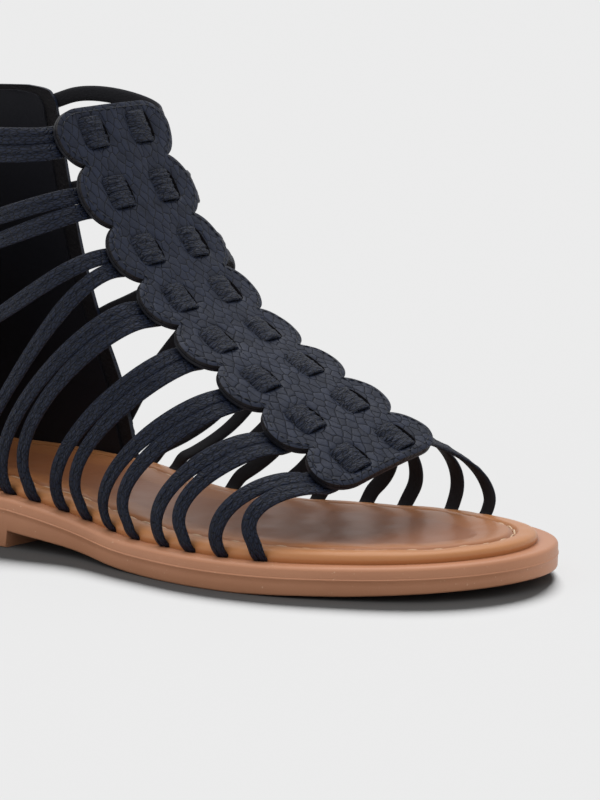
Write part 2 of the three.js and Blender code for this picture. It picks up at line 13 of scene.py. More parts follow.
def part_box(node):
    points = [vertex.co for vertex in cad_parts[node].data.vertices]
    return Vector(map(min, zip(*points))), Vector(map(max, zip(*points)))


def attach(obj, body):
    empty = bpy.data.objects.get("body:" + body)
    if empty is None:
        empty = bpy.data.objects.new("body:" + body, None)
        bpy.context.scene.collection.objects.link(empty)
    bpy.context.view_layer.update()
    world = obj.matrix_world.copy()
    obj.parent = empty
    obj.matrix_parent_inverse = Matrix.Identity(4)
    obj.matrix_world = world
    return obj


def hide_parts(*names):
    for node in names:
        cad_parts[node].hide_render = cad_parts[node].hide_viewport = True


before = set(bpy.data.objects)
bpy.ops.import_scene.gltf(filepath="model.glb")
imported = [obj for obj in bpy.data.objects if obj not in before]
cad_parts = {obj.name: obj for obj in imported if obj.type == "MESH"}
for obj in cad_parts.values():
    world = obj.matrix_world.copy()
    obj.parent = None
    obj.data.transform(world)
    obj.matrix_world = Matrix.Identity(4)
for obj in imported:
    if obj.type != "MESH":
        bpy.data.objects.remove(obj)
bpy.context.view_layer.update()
MM = 0.001

# ---------------------------------------------------------------- studio
# A pale seamless floor in an even white surround, with one broad soft light high behind the heel. The
# floor has a light of its own, low behind the shoe, whose shadow is only that of the sole.
# The camera stands low off the outer side of the toe, and the picture cuts off the back of the heel.

CAMERA_AZIMUTH = math.radians(40)
CAMERA_ELEVATION = math.radians(11.4)
CAMERA_ROLL = math.radians(-0.65)
CAMERA_DISTANCE = 1.125
CAMERA_STANDS_OFF = Vector((0.0346, -0.0010, 0))
CAMERA_AIM = Vector((0.0315, 0.0064, 0.0380))
CAMERA_LENS = 208.6

camera_data = bpy.data.cameras.new("studio_camera")
camera_data.lens = CAMERA_LENS
camera = bpy.data.objects.new("studio_camera", camera_data)
bpy.context.collection.objects.link(camera)
bpy.context.scene.camera = camera
towards_camera = Vector((
    math.sin(CAMERA_AZIMUTH) * math.cos(CAMERA_ELEVATION),
    -math.cos(CAMERA_AZIMUTH) * math.cos(CAMERA_ELEVATION),
    math.sin(CAMERA_ELEVATION),
))
camera.location = CAMERA_STANDS_OFF + CAMERA_DISTANCE * towards_camera
camera.rotation_mode = "QUATERNION"
level_aim = (CAMERA_AIM - camera.location).to_track_quat("-Z", "Y")
camera.rotation_quaternion = level_aim @ Quaternion((0, 0, 1), CAMERA_ROLL)
bpy.context.scene.view_settings.view_transform = "Standard"


def add_node(tree, kind, inputs=None, **settings):
    """A node with its settings, and its inputs linked to sockets or given values."""
    made = tree.nodes.new(kind)
    for name, value in settings.items():
        setattr(made, name, value)
    for key, value in (inputs or {}).items():
        if isinstance(value, bpy.types.NodeSocket):
            tree.links.new(value, made.inputs[key])
        else:
            made.inputs[key].default_value = value
    return made


def new_finish(name, colour, roughness, specular=0.5):
    """A material with its tree and its surface shader."""
    material = bpy.data.materials.new(name)
    material.use_nodes = True
    shader = material.node_tree.nodes["Principled BSDF"]
    shader.inputs["Base Color"].default_value = (*colour, 1)
    shader.inputs["Roughness"].default_value = roughness
    shader.inputs["Specular IOR Level"].default_value = specular
    return material, material.node_tree, shader


SURROUND_LIGHT = 0.72
SURROUND_SEEN = 0.83
world = bpy.data.worlds.new("studio_surround")
world.use_nodes = True
bpy.context.scene.world = world
surround = world.node_tree
lighting = surround.nodes["Background"]
lighting.inputs["Color"].default_value = (1, 1, 1, 1)
lighting.inputs["Strength"].default_value = SURROUND_LIGHT
seen = add_node(surround, "ShaderNodeBackground", {"Color": (1, 1, 1, 1), "Strength": SURROUND_SEEN})
ray = add_node(surround, "ShaderNodeLightPath")
either = add_node(surround, "ShaderNodeMixShader", {
    0: ray.outputs["Is Camera Ray"], 1: lighting.outputs[0], 2: seen.outputs[0],
})
surround.links.new(either.outputs[0], surround.nodes["World Output"].inputs["Surface"])


def new_sun(name, strength, width, travels):
    """A far, soft light of a given angular width."""
    light = bpy.data.lights.new(name, "SUN")
    light.energy = strength
    light.angle = math.radians(width)
    lamp = bpy.data.objects.new(name, light)
    lamp.rotation_mode = "QUATERNION"
    lamp.rotation_quaternion = Vector(travels).to_track_quat("-Z", "Y")
    bpy.context.collection.objects.link(lamp)
    return lamp


softbox = new_sun("softbox", 1.9, 70, (0.30, -0.10, -1))
floor_light = new_sun("floor_light", 32, 24, (0.50, -0.80, -0.64))

FLOOR_REACH = 30
floor_mesh = bpy.data.meshes.new("studio_floor")
floor_corners = [(x * FLOOR_REACH, y * FLOOR_REACH, 0) for x, y in ((-1, -1), (1, -1), (1, 1), (-1, 1))]
floor_mesh.from_pydata(floor_corners, [], [(0, 1, 2, 3)])
floor = bpy.data.objects.new("studio_floor", floor_mesh)
bpy.context.collection.objects.link(floor)
floor_paint, floor_tree, floor_shader = new_finish("floor_paint", (0.13, 0.13, 0.13), 0.9, 0)
floor_mottle = add_node(floor_tree, "ShaderNodeTexNoise", {"Scale": 3})
floor_tone = add_node(floor_tree, "ShaderNodeMapRange", {
    "Value": floor_mottle.outputs["Fac"], "To Min": 0.1297, "To Max": 0.1303,
})
floor_tree.links.new(floor_tone.outputs[0], floor_shader.inputs["Base Color"])
floor_mesh.materials.append(floor_paint)

lit_by_softbox = bpy.data.collections.new("lit_by_softbox")
lit_by_softbox.objects.link(floor)
lit_by_softbox.collection_objects[0].light_linking.link_state = "EXCLUDE"
softbox.light_linking.receiver_collection = lit_by_softbox
lit_by_floor_light = bpy.data.collections.new("lit_by_floor_light")
lit_by_floor_light.objects.link(floor)
floor_light.light_linking.receiver_collection = lit_by_floor_light
shades_floor_light = bpy.data.collections.new("shades_floor_light")
floor_light.light_linking.blocker_collection = shades_floor_light

# ---------------------------------------------------------------- outsole
# The outsole is one tan rubber moulding: a low heel block, a rising waist and a flat tread, with a
# rounded shoulder round the ledge that carries the insole and the mould's parting line below it.


def table(columns, *rows):
    """A table as one array for each named column."""
    return dict(zip(columns.split(), np.array(rows, float).T))


def smooth(knots, values):
    """A soft curve through the values: its slope at a knot is the mean of its neighbours' slopes."""
    steps = np.diff(knots)
    slopes = np.diff(values) / steps
    slopes_at = np.concatenate([slopes[:1], (slopes[1:] + slopes[:-1]) / 2, slopes[-1:]])

    def at(place):
        place = np.clip(place, knots[0], knots[-1])
        i = np.clip(np.searchsorted(knots, place, side="right") - 1, 0, len(steps) - 1)
        p = (place - knots[i]) / steps[i]
        start = values[i] * (1 + 2 * p) * (1 - p) ** 2 + slopes_at[i] * steps[i] * p * (1 - p) ** 2
        end = values[i + 1] * p ** 2 * (3 - 2 * p) - slopes_at[i + 1] * steps[i] * p ** 2 * (1 - p)
        return start + end

    return at


def through(lines, column, key="x"):
    return smooth(lines[key], lines[column])


sole_low, sole_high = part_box("outsole")
LENGTH = (sole_high.x - sole_low.x) / MM
heel_back = min(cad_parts["outsole"].data.vertices, key=lambda corner: corner.co.x).co
LAST_ORIGIN = np.array([heel_back.x, heel_back.y, 0])

# Half widths of the outsole either side of the length axis.
OUTLINE = table(
    "x inner outer",
    (0, 0, 0),
    (10, 20, 20),
    (25, 27, 27),
    (50, 29.5, 30.5),
    (75, 27.8, 30.8),
    (95, 25.2, 31),
    (115, 30.5, 36),
    (140, 38.3, 39.4),
    (160, 41.5, 37.6),
    (180, 38, 30.4),
    (195, 30, 21.4),
    (203.5, 20.5, 11.4),
    (LENGTH, 5, -5),
)
# Underside, ledge under the insole, and how far the insole's roll stands above it on either side.
SOLE_BREAST = 72
UNDERSIDE = table(
    "x z",
    (0, 0),
    (SOLE_BREAST, 0),
    (SOLE_BREAST + 0.6, 4.1),
    (91, 2.4),
    (107, 0.8),
    (118, 0.2),
    (127, 0),
    (153, 0),
    (180, 1),
    (LENGTH, 2.8),
)
FOOTBED = table(
    "x ledge inner outer",
    (0, 14, 2.2, 2.2),
    (40, 13.6, 1.8, 2.8),
    (72, 12.5, 1.5, 3.2),
    (80, 11.6, 1.4, 3.4),
    (88, 10.4, 1.5, 3.6),
    (96, 9.2, 1.7, 3.7),
    (105, 8.2, 1.7, 3.5),
    (115, 7.6, 1.7, 3.4),
    (127, 7.4, 1.8, 3.3),
    (153, 7.4, 1.9, 3.2),
    (180, 7.9, 2.2, 2.9),
    (LENGTH, 9, 2.7, 2.7),
)
INNER, OUTER = 1, -1
ledge = through(FOOTBED, "ledge")


def angle_at(x):
    """The outline is read by an angle from 0 at the heel to pi at the toe, so both ends are round."""
    return np.arccos(np.clip(1 - 2 * np.asarray(x, float) / LENGTH, -1, 1))


half_width = {
    INNER: smooth(angle_at(OUTLINE["x"]), OUTLINE["inner"]),
    OUTER: smooth(angle_at(OUTLINE["x"]), OUTLINE["outer"]),
}


def outline_point(angle, side):
    return np.stack([LENGTH / 2 * (1 - np.cos(angle)), side * half_width[side](angle)], -1)


def inset_point(angle, side, inset):
    """Points of the outline moved in by a distance, and the way along it towards the toe."""
    step = 0.002
    before = outline_point(np.maximum(angle - step, 0), side)
    after = outline_point(np.minimum(angle + step, np.pi), side)
    along = after - before
    along /= np.linalg.norm(along, axis=-1, keepdims=True)
    inwards = np.stack([along[..., 1], -along[..., 0]], -1) * side
    inwards = np.where((angle < step)[..., None], (1, 0), inwards)
    inwards = np.where((angle > np.pi - step)[..., None], (-1, 0), inwards)
    point = outline_point(angle, side) + inwards * np.asarray(inset, float)[..., None]
    return point, along


AT_BREAST = SOLE_BREAST + np.array([-1.2, -0.5, -0.15, 0, 0.2, 0.4, 0.6, 0.75, 1.2])
STATIONS = np.sort(np.concatenate([np.linspace(0, np.pi, 181), angle_at(AT_BREAST)]))
STATIONS = STATIONS[np.concatenate([[True], np.diff(STATIONS) > 1e-4])]
TOE_STATION = len(STATIONS) - 1


def sole_ring(inset, height):
    """One closed ring round the sole: up the inner side to the toe and back down the outer side."""
    inner, _ = inset_point(STATIONS, INNER, inset(STATIONS, INNER))
    outer, _ = inset_point(STATIONS, OUTER, inset(STATIONS, OUTER))
    flat = np.concatenate([inner, outer[-2:0:-1]])
    return np.column_stack([flat, height(flat[:, 0], flat[:, 1])])


def ring_faces(rings, size):
    """Quads between closed rings of equal size that follow one another."""
    start = (np.arange(rings - 1) * size)[:, None]
    here = np.arange(size)
    ahead = (here + 1) % size
    quads = np.stack([start + here, start + ahead, start + size + ahead, start + size + here], -1)
    return quads.reshape(-1, 4).tolist()


def sole_rungs(ring, first, free, columns, height):
    """Closes a sole ring across with rows from side to side; height takes x, y and share across.

    The ring's own points count from first, and the points that are added count from free.
    """
    share = np.arange(1, columns)[:, None] / columns
    points, rows = [], []
    for i in range(1, TOE_STATION):
        outer = len(ring) - i
        flat = ring[i, :2] * (1 - share) + ring[outer, :2] * share
        start = len(points)
        points.extend(np.column_stack([flat, height(flat[:, 0], flat[:, 1], share[:, 0])]))
        inside = [free + start + k for k in range(columns - 1)]
        rows.append([first + i, *inside, first + outer])
    faces = [(a[k], a[k + 1], b[k + 1], b[k]) for a, b in zip(rows, rows[1:]) for k in range(columns)]
    faces += [(first, rows[0][k + 1], rows[0][k]) for k in range(columns)]
    toe = first + TOE_STATION
    faces += [(toe, rows[-1][k], rows[-1][k + 1]) for k in range(columns)]
    return points, faces


def new_piece(name, points, faces, finish, sharp=180, attributes=None, uv=None, closed=True):
    """A smooth mesh object from points on the last, in millimetres, with its finish."""
    mesh = bpy.data.meshes.new(name)
    placed = np.asarray(points, float) * MM + LAST_ORIGIN
    mesh.from_pydata(placed.tolist(), [], [tuple(face) for face in faces])
    for key, values in (attributes or {}).items():
        mesh.attributes.new(key, "FLOAT", "POINT").data.foreach_set("value", np.asarray(values, np.float32))
    if uv is not None:
        corner = np.zeros(len(mesh.loops), np.int32)
        mesh.loops.foreach_get("vertex_index", corner)
        layer = mesh.uv_layers.new(name="surface")
        layer.data.foreach_set("uv", np.asarray(uv, np.float32)[corner].ravel())
    if closed:
        work = bmesh.new()
        work.from_mesh(mesh)
        bmesh.ops.recalc_face_normals(work, faces=work.faces)
        work.to_mesh(mesh)
        work.free()
    mesh.shade_smooth()
    if sharp < 180:
        mesh.set_sharp_from_angle(angle=math.radians(sharp))
    mesh.materials.append(finish)
    piece = bpy.data.objects.new(name, mesh)
    bpy.context.collection.objects.link(piece)
    return piece


def place_in(tree):
    return add_node(tree, "ShaderNodeTexCoord").outputs["Object"]


def noise(tree, place, scale, detail):
    return add_node(tree, "ShaderNodeTexNoise", {
        "Vector": place, "Scale": scale, "Detail": detail,
    }).outputs["Fac"]


def spread(tree, value, start=0, stop=1, low=0, high=1, kind="LINEAR"):
    """A value carried over from one range to another."""
    return add_node(tree, "ShaderNodeMapRange", {
        "Value": value, "From Min": start, "From Max": stop, "To Min": low, "To Max": high,
    }, interpolation_type=kind).outputs[0]


def graded(tree, value, *stops):
    """The colour at a value between stops of (position, colour)."""
    ramp = add_node(tree, "ShaderNodeValToRGB", {"Fac": value})
    elements = ramp.color_ramp.elements
    elements[0].position = stops[0][0]
    elements[1].position = stops[-1][0]
    for position, _ in stops[1:-1]:
        elements.new(position)
    for element, (_, colour) in zip(elements, stops):
        element.color = (*colour, 1)
    return ramp.outputs[0]


def two_tone(tree, share, first, second):
    return add_node(tree, "ShaderNodeMix", {0: share, 6: first, 7: (*second, 1)},
                    data_type="RGBA").outputs[2]


def wire(tree, shader, colour, height, strength, depth, rough=None):
    """Joins a colour, a relief that stands a given depth in metres, and a roughness to a shader."""
    bump = add_node(tree, "ShaderNodeBump", {"Height": height, "Strength": strength, "Distance": depth})
    tree.links.new(colour, shader.inputs["Base Color"])
    tree.links.new(bump.outputs[0], shader.inputs["Normal"])
    if rough:
        tree.links.new(rough, shader.inputs["Roughness"])


def rubber_finish():
    """Tan rubber, a little waxy, with faint flow marks and fine specks from the mould."""
    material, tree, shader = new_finish("moulded_rubber", (0.48, 0.22, 0.12), 0.42, 0.3)
    flow = noise(tree, place_in(tree), 45, 3)
    tone = graded(tree, flow, (0.3, (0.450, 0.205, 0.111)), (0.75, (0.508, 0.239, 0.133)))
    speck = noise(tree, place_in(tree), 1400, 2)
    colour = two_tone(tree, spread(tree, speck, 0.70, 0.78), tone, (0.62, 0.40, 0.27))
    wire(tree, shader, colour, speck, 0.12, 0.0002, spread(tree, flow, low=0.36, high=0.5))
    return material


def underside(x):
    return np.interp(x, UNDERSIDE["x"], UNDERSIDE["z"])


BOTTOM_ROUND = 0.5
SHOULDER_IN, SHOULDER_DROP = 1.2, 1.1
PARTING_DROP, PARTING_HALF = 3.0, 0.28
WALL_IN, BEAD_OUT = 0.03, 0.11
LEDGE_SINK = 0.1


def make_outsole():
    """Rings up the wall, each at an inset from the outline and a rise over the underside or the ledge."""
    profile = [(4.0, 0.0, underside)]
    profile += [(0.15 + BOTTOM_ROUND * (1 - np.sin(a)), BOTTOM_ROUND * (1 - np.cos(a)), underside)
                for a in np.radians([0, 22, 45, 68, 90])]
    profile += [(inset, rise - PARTING_DROP, ledge) for inset, rise in (
        (0.08, -1.4), (WALL_IN, -PARTING_HALF), (-BEAD_OUT, -0.1), (-BEAD_OUT, 0.1), (WALL_IN, PARTING_HALF),
    )]
    profile += [(SHOULDER_IN * (1 - np.cos(a)), SHOULDER_DROP * (np.sin(a) - 1), ledge)
                for a in np.radians([8, 20, 34, 48, 62, 76, 90])]
    profile += [(3.4, 0.0, ledge), (6.0, -LEDGE_SINK, ledge)]
    rings = [
        sole_ring(lambda angle, side, d=inset: np.full(len(angle), d), lambda x, y, r=rise, f=base: f(x) + r)
        for inset, rise, base in profile
    ]
    size = len(rings[0])
    points = list(np.concatenate(rings))
    faces = ring_faces(len(rings), size)
    under, under_faces = sole_rungs(rings[0], 0, len(points), 12, lambda x, y, share: underside(x))
    points += under
    top, top_faces = sole_rungs(rings[-1], (len(rings) - 1) * size, len(points), 8,
                                lambda x, y, share: ledge(x) - LEDGE_SINK)
    points += top
    return new_piece("outsole_moulding", points, faces + under_faces + top_faces, rubber_finish(), sharp=38)


outsole = make_outsole()
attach(outsole, "root")
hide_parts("outsole")
shades_floor_light.objects.link(outsole)

# ---------------------------------------------------------------- insole
# The insole is a foam pad wrapped in glazed brown leather: a soft roll round its edge, a groove where
# it is stitched down, and a cushion inside that is hollowed by the foot. Straps pinch its roll.


def records(columns, *rows):
    """A table as one dictionary for each row."""
    return [dict(zip(columns.split(), row)) for row in rows]


INSOLE_EDGE = table("x inset", (0, 5.4), (66, 5.4), (74, 3.8), (165, 3.8), (LENGTH, 5))
# Ends of the straps: length x where they pass under the insole, or height z at the counter's front
# edge, with the strap's fall over each millimetre back and the length that is laid on the counter.
STRAP_ENDS = records(
    "row strap at inner outer fall_in fall_out laid",
    (1, "rear", "counter", 104.5, 100.3, 0.35, 0.1, 13),
    (1, "front", "counter", 98.8, 95, 0.35, 0.15, 13),
    (2, "rear", "counter", 82, 76.5, 0.25, 0.25, 13),
    (2, "front", "counter", 76, 70, 0.25, 0.25, 13),
    (3, "rear", "counter", 50, 51, 0.5, 0.5, 13),
    (3, "front", "counter", 26.5, 26.5, 1.4, 1.4, 6.5),
    (4, "rear", "sole", 71.5, 70),
    (4, "front", "sole", 80.3, 78.7),
    (5, "rear", "sole", 90, 88),
    (5, "front", "sole", 99, 95.8),
    (6, "rear", "sole", 111, 105.3),
    (6, "front", "sole", 121, 115.4),
    (7, "rear", "sole", 133.5, 126.7),
    (7, "front", "sole", 143.8, 136),
    (8, "rear", "sole", 157.5, 146.7),
    (8, "front", "sole", 169.5, 158),
)
STRAPS_IN_SOLE = [end for end in STRAP_ENDS if end["at"] == "sole"]
SIDE_NAME = {INNER: "inner", OUTER: "outer"}
rim_height = {INNER: through(FOOTBED, "inner"), OUTER: through(FOOTBED, "outer")}
RIM_SPAN = 60
ROLL_WIDTH = 2.6
GROOVE_IN = 5.6
GROOVE_DEPTH = 0.75
GROOVE_WIDTH = 0.75
PINCH_REACH = 2.6
PINCH_DEPTH = 0.55
EDGE_SHARE = 0.42
CUSHION_RISE = 0.25
FOOT_HOLLOW = 1.15


def ripple(u, v, length, seed):
    """Soft unevenness between about -1 and 1: a few waves of like length in chance directions."""
    chance = np.random.default_rng(seed)
    total = 0
    for _ in range(7):
        turn, start = chance.uniform(0, 2 * np.pi, 2)
        wave = length * chance.uniform(0.7, 1.4)
        total = total + np.sin(2 * np.pi * (u * np.cos(turn) + v * np.sin(turn)) / wave + start)
    return total / 3.5


def pinch(x, side):
    """How hard the straps press on the insole's roll at a place, from 0 to 1."""
    landings = np.array([end[SIDE_NAME[side]] for end in STRAPS_IN_SOLE])
    return np.exp(-((np.asarray(x)[..., None] - landings) / PINCH_REACH) ** 2).sum(-1)


def rim(x, y):
    share = np.clip(0.5 + y / RIM_SPAN, 0, 1)
    return rim_height[OUTER](x) * (1 - share) + rim_height[INNER](x) * share


def insole_height(x, y, inset):
    """Height of the insole's surface over the ledge at a distance in from its edge."""
    roll = np.sqrt(np.clip(1 - (1 - np.clip(inset / ROLL_WIDTH, 0, 1)) ** 2, 0, 1))
    height = rim(x, y) * (EDGE_SHARE + (1 - EDGE_SHARE) * roll)
    height = height - GROOVE_DEPTH * np.exp(-((inset - GROOVE_IN) / GROOVE_WIDTH) ** 2)
    cushion = np.clip((inset - GROOVE_IN) / 3, 0, 1)
    height = height + CUSHION_RISE * cushion * (2 - cushion)
    hollow = np.clip((inset - GROOVE_IN - 2) / 14, 0, 1)
    height = height - FOOT_HOLLOW * hollow ** 2 * (3 - 2 * hollow)
    rolled = np.clip(inset / ROLL_WIDTH, 0, 1)
    return height + 0.11 * rolled * ripple(x, y, 17, 3) + 0.05 * rolled * ripple(x, y, 6.5, 4)


def insole_inset(distance):
    """The inset from the sole's outline, at a distance in from the insole's pinched edge."""
    def at(angle, side):
        x = LENGTH / 2 * (1 - np.cos(angle))
        eased = PINCH_DEPTH * pinch(x, side) * max(0, 1 - distance / 4)
        return np.interp(x, INSOLE_EDGE["x"], INSOLE_EDGE["inset"]) + distance + eased
    return at


def maths(tree, operation, *values):
    return add_node(tree, "ShaderNodeMath", dict(enumerate(values)), operation=operation).outputs[0]


def glazed_finish():
    """Glazed brown leather: clear coat over a tan, with painted shade in the groove, and painted shade and a
    painted dark reflection of the straps and strip over the cushion.
    """
    material, tree, shader = new_finish("glazed_leather", (0.3, 0.14, 0.06), 0.38, 0.3)
    place = place_in(tree)
    from_edge = add_node(tree, "ShaderNodeAttribute", attribute_name="from_edge").outputs["Fac"]
    cloud = noise(tree, place, 26, 4)
    drift = maths(tree, "MULTIPLY_ADD", cloud, 2.4, -1.2)
    share = spread(tree, maths(tree, "ADD", from_edge, drift), stop=20)
    # The tan is lightest on the roll. It is painted darker in the groove as painted shade, and darker over
    # the cushion as painted shade and a painted dark reflection of the straps and strip.
    colour = graded(tree, share, (0, (0.47, 0.205, 0.080)), (0.2, (0.46, 0.190, 0.070)),
                    (0.28, (0.27, 0.095, 0.028)), (0.36, (0.37, 0.145, 0.052)), (1, (0.252, 0.093, 0.040)))
    relief = maths(tree, "MULTIPLY_ADD", noise(tree, place, 130, 4), 2.0, noise(tree, place, 900, 3))
    wire(tree, shader, colour, relief, 0.22, 0.0002, spread(tree, cloud, low=0.34, high=0.5))
    shader.inputs["Coat Weight"].default_value = 0.1
    shader.inputs["Coat Roughness"].default_value = 0.16
    return material


def make_insole():
    """Rings from under the edge over the roll and the groove, closed across the cushion and below."""
    sink = 0.4
    insets = [0.9, 0.3, 0.05]
    lifts = [-sink, -0.05, 0.28]
    rings = [
        sole_ring(insole_inset(inset), lambda x, y, share=lift: ledge(x) + share * rim(x, y))
        for inset, lift in zip(insets, lifts)
    ]
    depths = np.concatenate([
        np.linspace(0, ROLL_WIDTH, 9), np.arange(3.0, 8.2, 0.33), np.arange(9, 15.5, 1.1),
    ])
    from_edge = [np.zeros(len(rings[0])) for _ in rings]
    for depth in depths:
        ring = sole_ring(insole_inset(depth), lambda x, y: ledge(x))
        ring[:, 2] += insole_height(ring[:, 0], ring[:, 1], depth)
        rings.append(ring)
        from_edge.append(np.full(len(ring), depth))
    size = len(rings[0])
    points = list(np.concatenate(rings))
    faces = ring_faces(len(rings), size)

    def top_height(x, y, share):
        inset = depths[-1] + 22 * share * (1 - share)
        return ledge(x) + insole_height(x, y, inset)

    top, top_faces = sole_rungs(rings[-1], (len(rings) - 1) * size, len(points), 28, top_height)
    points += top
    from_edge.append(np.full(len(top), depths[-1] + 4))
    under, under_faces = sole_rungs(rings[0], 0, len(points), 4,
                                    lambda x, y, share: ledge(x) - sink * rim(x, y))
    points += under
    from_edge.append(np.zeros(len(under)))
    return new_piece("insole_pad", points, faces + top_faces + under_faces, glazed_finish(),
                     attributes={"from_edge": np.concatenate(from_edge)})


insole = make_insole()
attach(insole, "root")
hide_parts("insole")

# ---------------------------------------------------------------- insole stitching
# One row of pale waxed thread holds the insole down in its groove, in long stitches that show most
# at the toe. Each stitch is a short arched length of round thread whose ends dip into the leather.


def new_group(name, inputs):
    """A geometry node tree with named inputs of given kinds, and the sockets that bring them in."""
    tree = bpy.data.node_groups.new(name, "GeometryNodeTree")
    for title, kind in {"Geometry": "Geometry", **inputs}.items():
        tree.interface.new_socket(title, in_out="INPUT", socket_type="NodeSocket" + kind)
    tree.interface.new_socket("Geometry", in_out="OUTPUT", socket_type="NodeSocketGeometry")
    return tree, add_node(tree, "NodeGroupInput").outputs


def stitch_tree():
    """Geometry nodes that lay one stitch at each step of a polyline, upright on its surface."""
    tree, given = new_group("stitch_row", {
        "Pitch": "Float", "Stitch length": "Float", "Thread radius": "Float", "Arch": "Float",
        "Sides": "Int", "Seed": "Int", "Thread": "Material",
    })
    line = add_node(tree, "GeometryNodeMeshToCurve", {"Mesh": given["Geometry"]})
    steps = add_node(tree, "GeometryNodeResampleCurve", {
        "Curve": line.outputs[0], "Length": given["Pitch"],
    }, mode="LENGTH")
    half = maths(tree, "MULTIPLY", given["Stitch length"], 0.5)
    back = maths(tree, "MULTIPLY", half, -1)
    dip = maths(tree, "MULTIPLY", given["Thread radius"], -1)
    start = add_node(tree, "ShaderNodeCombineXYZ", {0: back, 2: dip})
    top = add_node(tree, "ShaderNodeCombineXYZ", {2: given["Arch"]})
    end = add_node(tree, "ShaderNodeCombineXYZ", {0: half, 2: dip})
    arc = add_node(tree, "GeometryNodeCurveQuadraticBezier", {
        "Resolution": 5, "Start": start.outputs[0], "Middle": top.outputs[0], "End": end.outputs[0],
    })
    section = add_node(tree, "GeometryNodeCurvePrimitiveCircle", {
        "Resolution": given["Sides"], "Radius": given["Thread radius"],
    })
    thread = add_node(tree, "GeometryNodeCurveToMesh", {
        "Curve": arc.outputs[0], "Profile Curve": section.outputs[0], "Fill Caps": True,
    })
    tangent = add_node(tree, "GeometryNodeInputTangent")
    upright = add_node(tree, "GeometryNodeInputNamedAttribute", {"Name": "upright"},
                       data_type="FLOAT_VECTOR")
    facing = add_node(tree, "FunctionNodeAlignRotationToVector", {"Vector": tangent.outputs[0]}, axis="X")
    turned = add_node(tree, "FunctionNodeAlignRotationToVector", {
        "Rotation": facing.outputs[0], "Vector": upright.outputs[0],
    }, axis="Z", pivot_axis="X")
    size = add_node(tree, "FunctionNodeRandomValue", {"Seed": given["Seed"]}, data_type="FLOAT")
    size.inputs[2].default_value = 0.88
    size.inputs[3].default_value = 1.08
    placed = add_node(tree, "GeometryNodeInstanceOnPoints", {
        "Points": steps.outputs[0], "Instance": thread.outputs[0],
        "Rotation": turned.outputs[0], "Scale": size.outputs[1],
    })
    joined = add_node(tree, "GeometryNodeRealizeInstances", {"Geometry": placed.outputs[0]})
    round_ = add_node(tree, "GeometryNodeSetShadeSmooth", {"Geometry": joined.outputs[0]})
    dyed = add_node(tree, "GeometryNodeSetMaterial", {
        "Geometry": round_.outputs[0], "Material": given["Thread"],
    })
    add_node(tree, "NodeGroupOutput", {0: dyed.outputs[0]})
    return tree


STITCH_TREE = stitch_tree()


def grow(piece, tree, **values):
    """Runs a node tree on a piece, with its named inputs, and keeps the plain mesh that it makes."""
    modifier = piece.modifiers.new(tree.name, "NODES")
    modifier.node_group = tree
    for item in tree.interface.items_tree:
        name = item.name.lower().replace(" ", "_")
        if item.in_out == "INPUT" and name in values:
            modifier[item.identifier] = values[name]
    piece.update_tag()
    evaluated = piece.evaluated_get(bpy.context.evaluated_depsgraph_get())
    mesh = bpy.data.meshes.new_from_object(evaluated)
    piece.modifiers.remove(modifier)
    mesh.name = piece.name
    piece.data = mesh
    return piece


def stitched(name, lines, **values):
    """Stitches along lines of (points, surface normals) on the last, as one piece."""
    points = np.concatenate([line for line, _ in lines]) * MM + LAST_ORIGIN
    ups = np.concatenate([up for _, up in lines])
    edges, first = [], 0
    for line, _ in lines:
        edges += [(first + i, first + i + 1) for i in range(len(line) - 1)]
        first += len(line)
    mesh = bpy.data.meshes.new(name)
    mesh.from_pydata(points.tolist(), edges, [])
    mesh.attributes.new("upright", "FLOAT_VECTOR", "POINT").data.foreach_set(
        "vector", ups.astype(np.float32).ravel())
    row = bpy.data.objects.new(name, mesh)
    bpy.context.collection.objects.link(row)
    return grow(row, STITCH_TREE, **values)


def thread_finish(name, colour, sheen):
    """Waxed twisted thread, with a slight change of tone along it."""
    material, tree, shader = new_finish(name, colour, 0.5, 0.3)
    twist = noise(tree, place_in(tree), 1500, 2)
    tone = graded(tree, twist, (0.35, [part * 0.7 for part in colour]), (0.65, colour))
    wire(tree, shader, tone, twist, 0.4, 0.0001)
    shader.inputs["Sheen Weight"].default_value = sheen
    return material


def insole_stitching():
    """One closed row along the groove, upright."""
    ring = sole_ring(insole_inset(GROOVE_IN), lambda x, y: ledge(x))
    ring[:, 2] += insole_height(ring[:, 0], ring[:, 1], GROOVE_IN) + 0.1
    ring = np.concatenate([ring, ring[:1]])
    ups = np.tile((0.0, 0.0, 1.0), (len(ring), 1))
    return stitched("insole_stitching", [(ring, ups)], pitch=6.3 * MM, stitch_length=5.2 * MM,
                    thread_radius=0.26 * MM, arch=0.7 * MM, sides=6, seed=5,
                    thread=thread_finish("pale_thread", (0.74, 0.52, 0.33), 0.1))


insole_thread = insole_stitching()
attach(insole_thread, "root")

# ---------------------------------------------------------------- centre strip
# The centre strip is navy leather embossed like snake skin, cut with a row of round lobes along each
# edge. Each row of straps comes up through windows either side of its middle.

STRAP_WIDTH = 3.7
STRAP_THICKNESS = 1.4
STRAP_PITCH = 4
ROWS = 8
ROW_PITCH = 15.5
LOBE_RADIUS = 8.5
LOBE_CENTRE = 11.6
END_REACH = 6.8
ARCH_RADIUS = 200
STRIP_HALF = 1.1
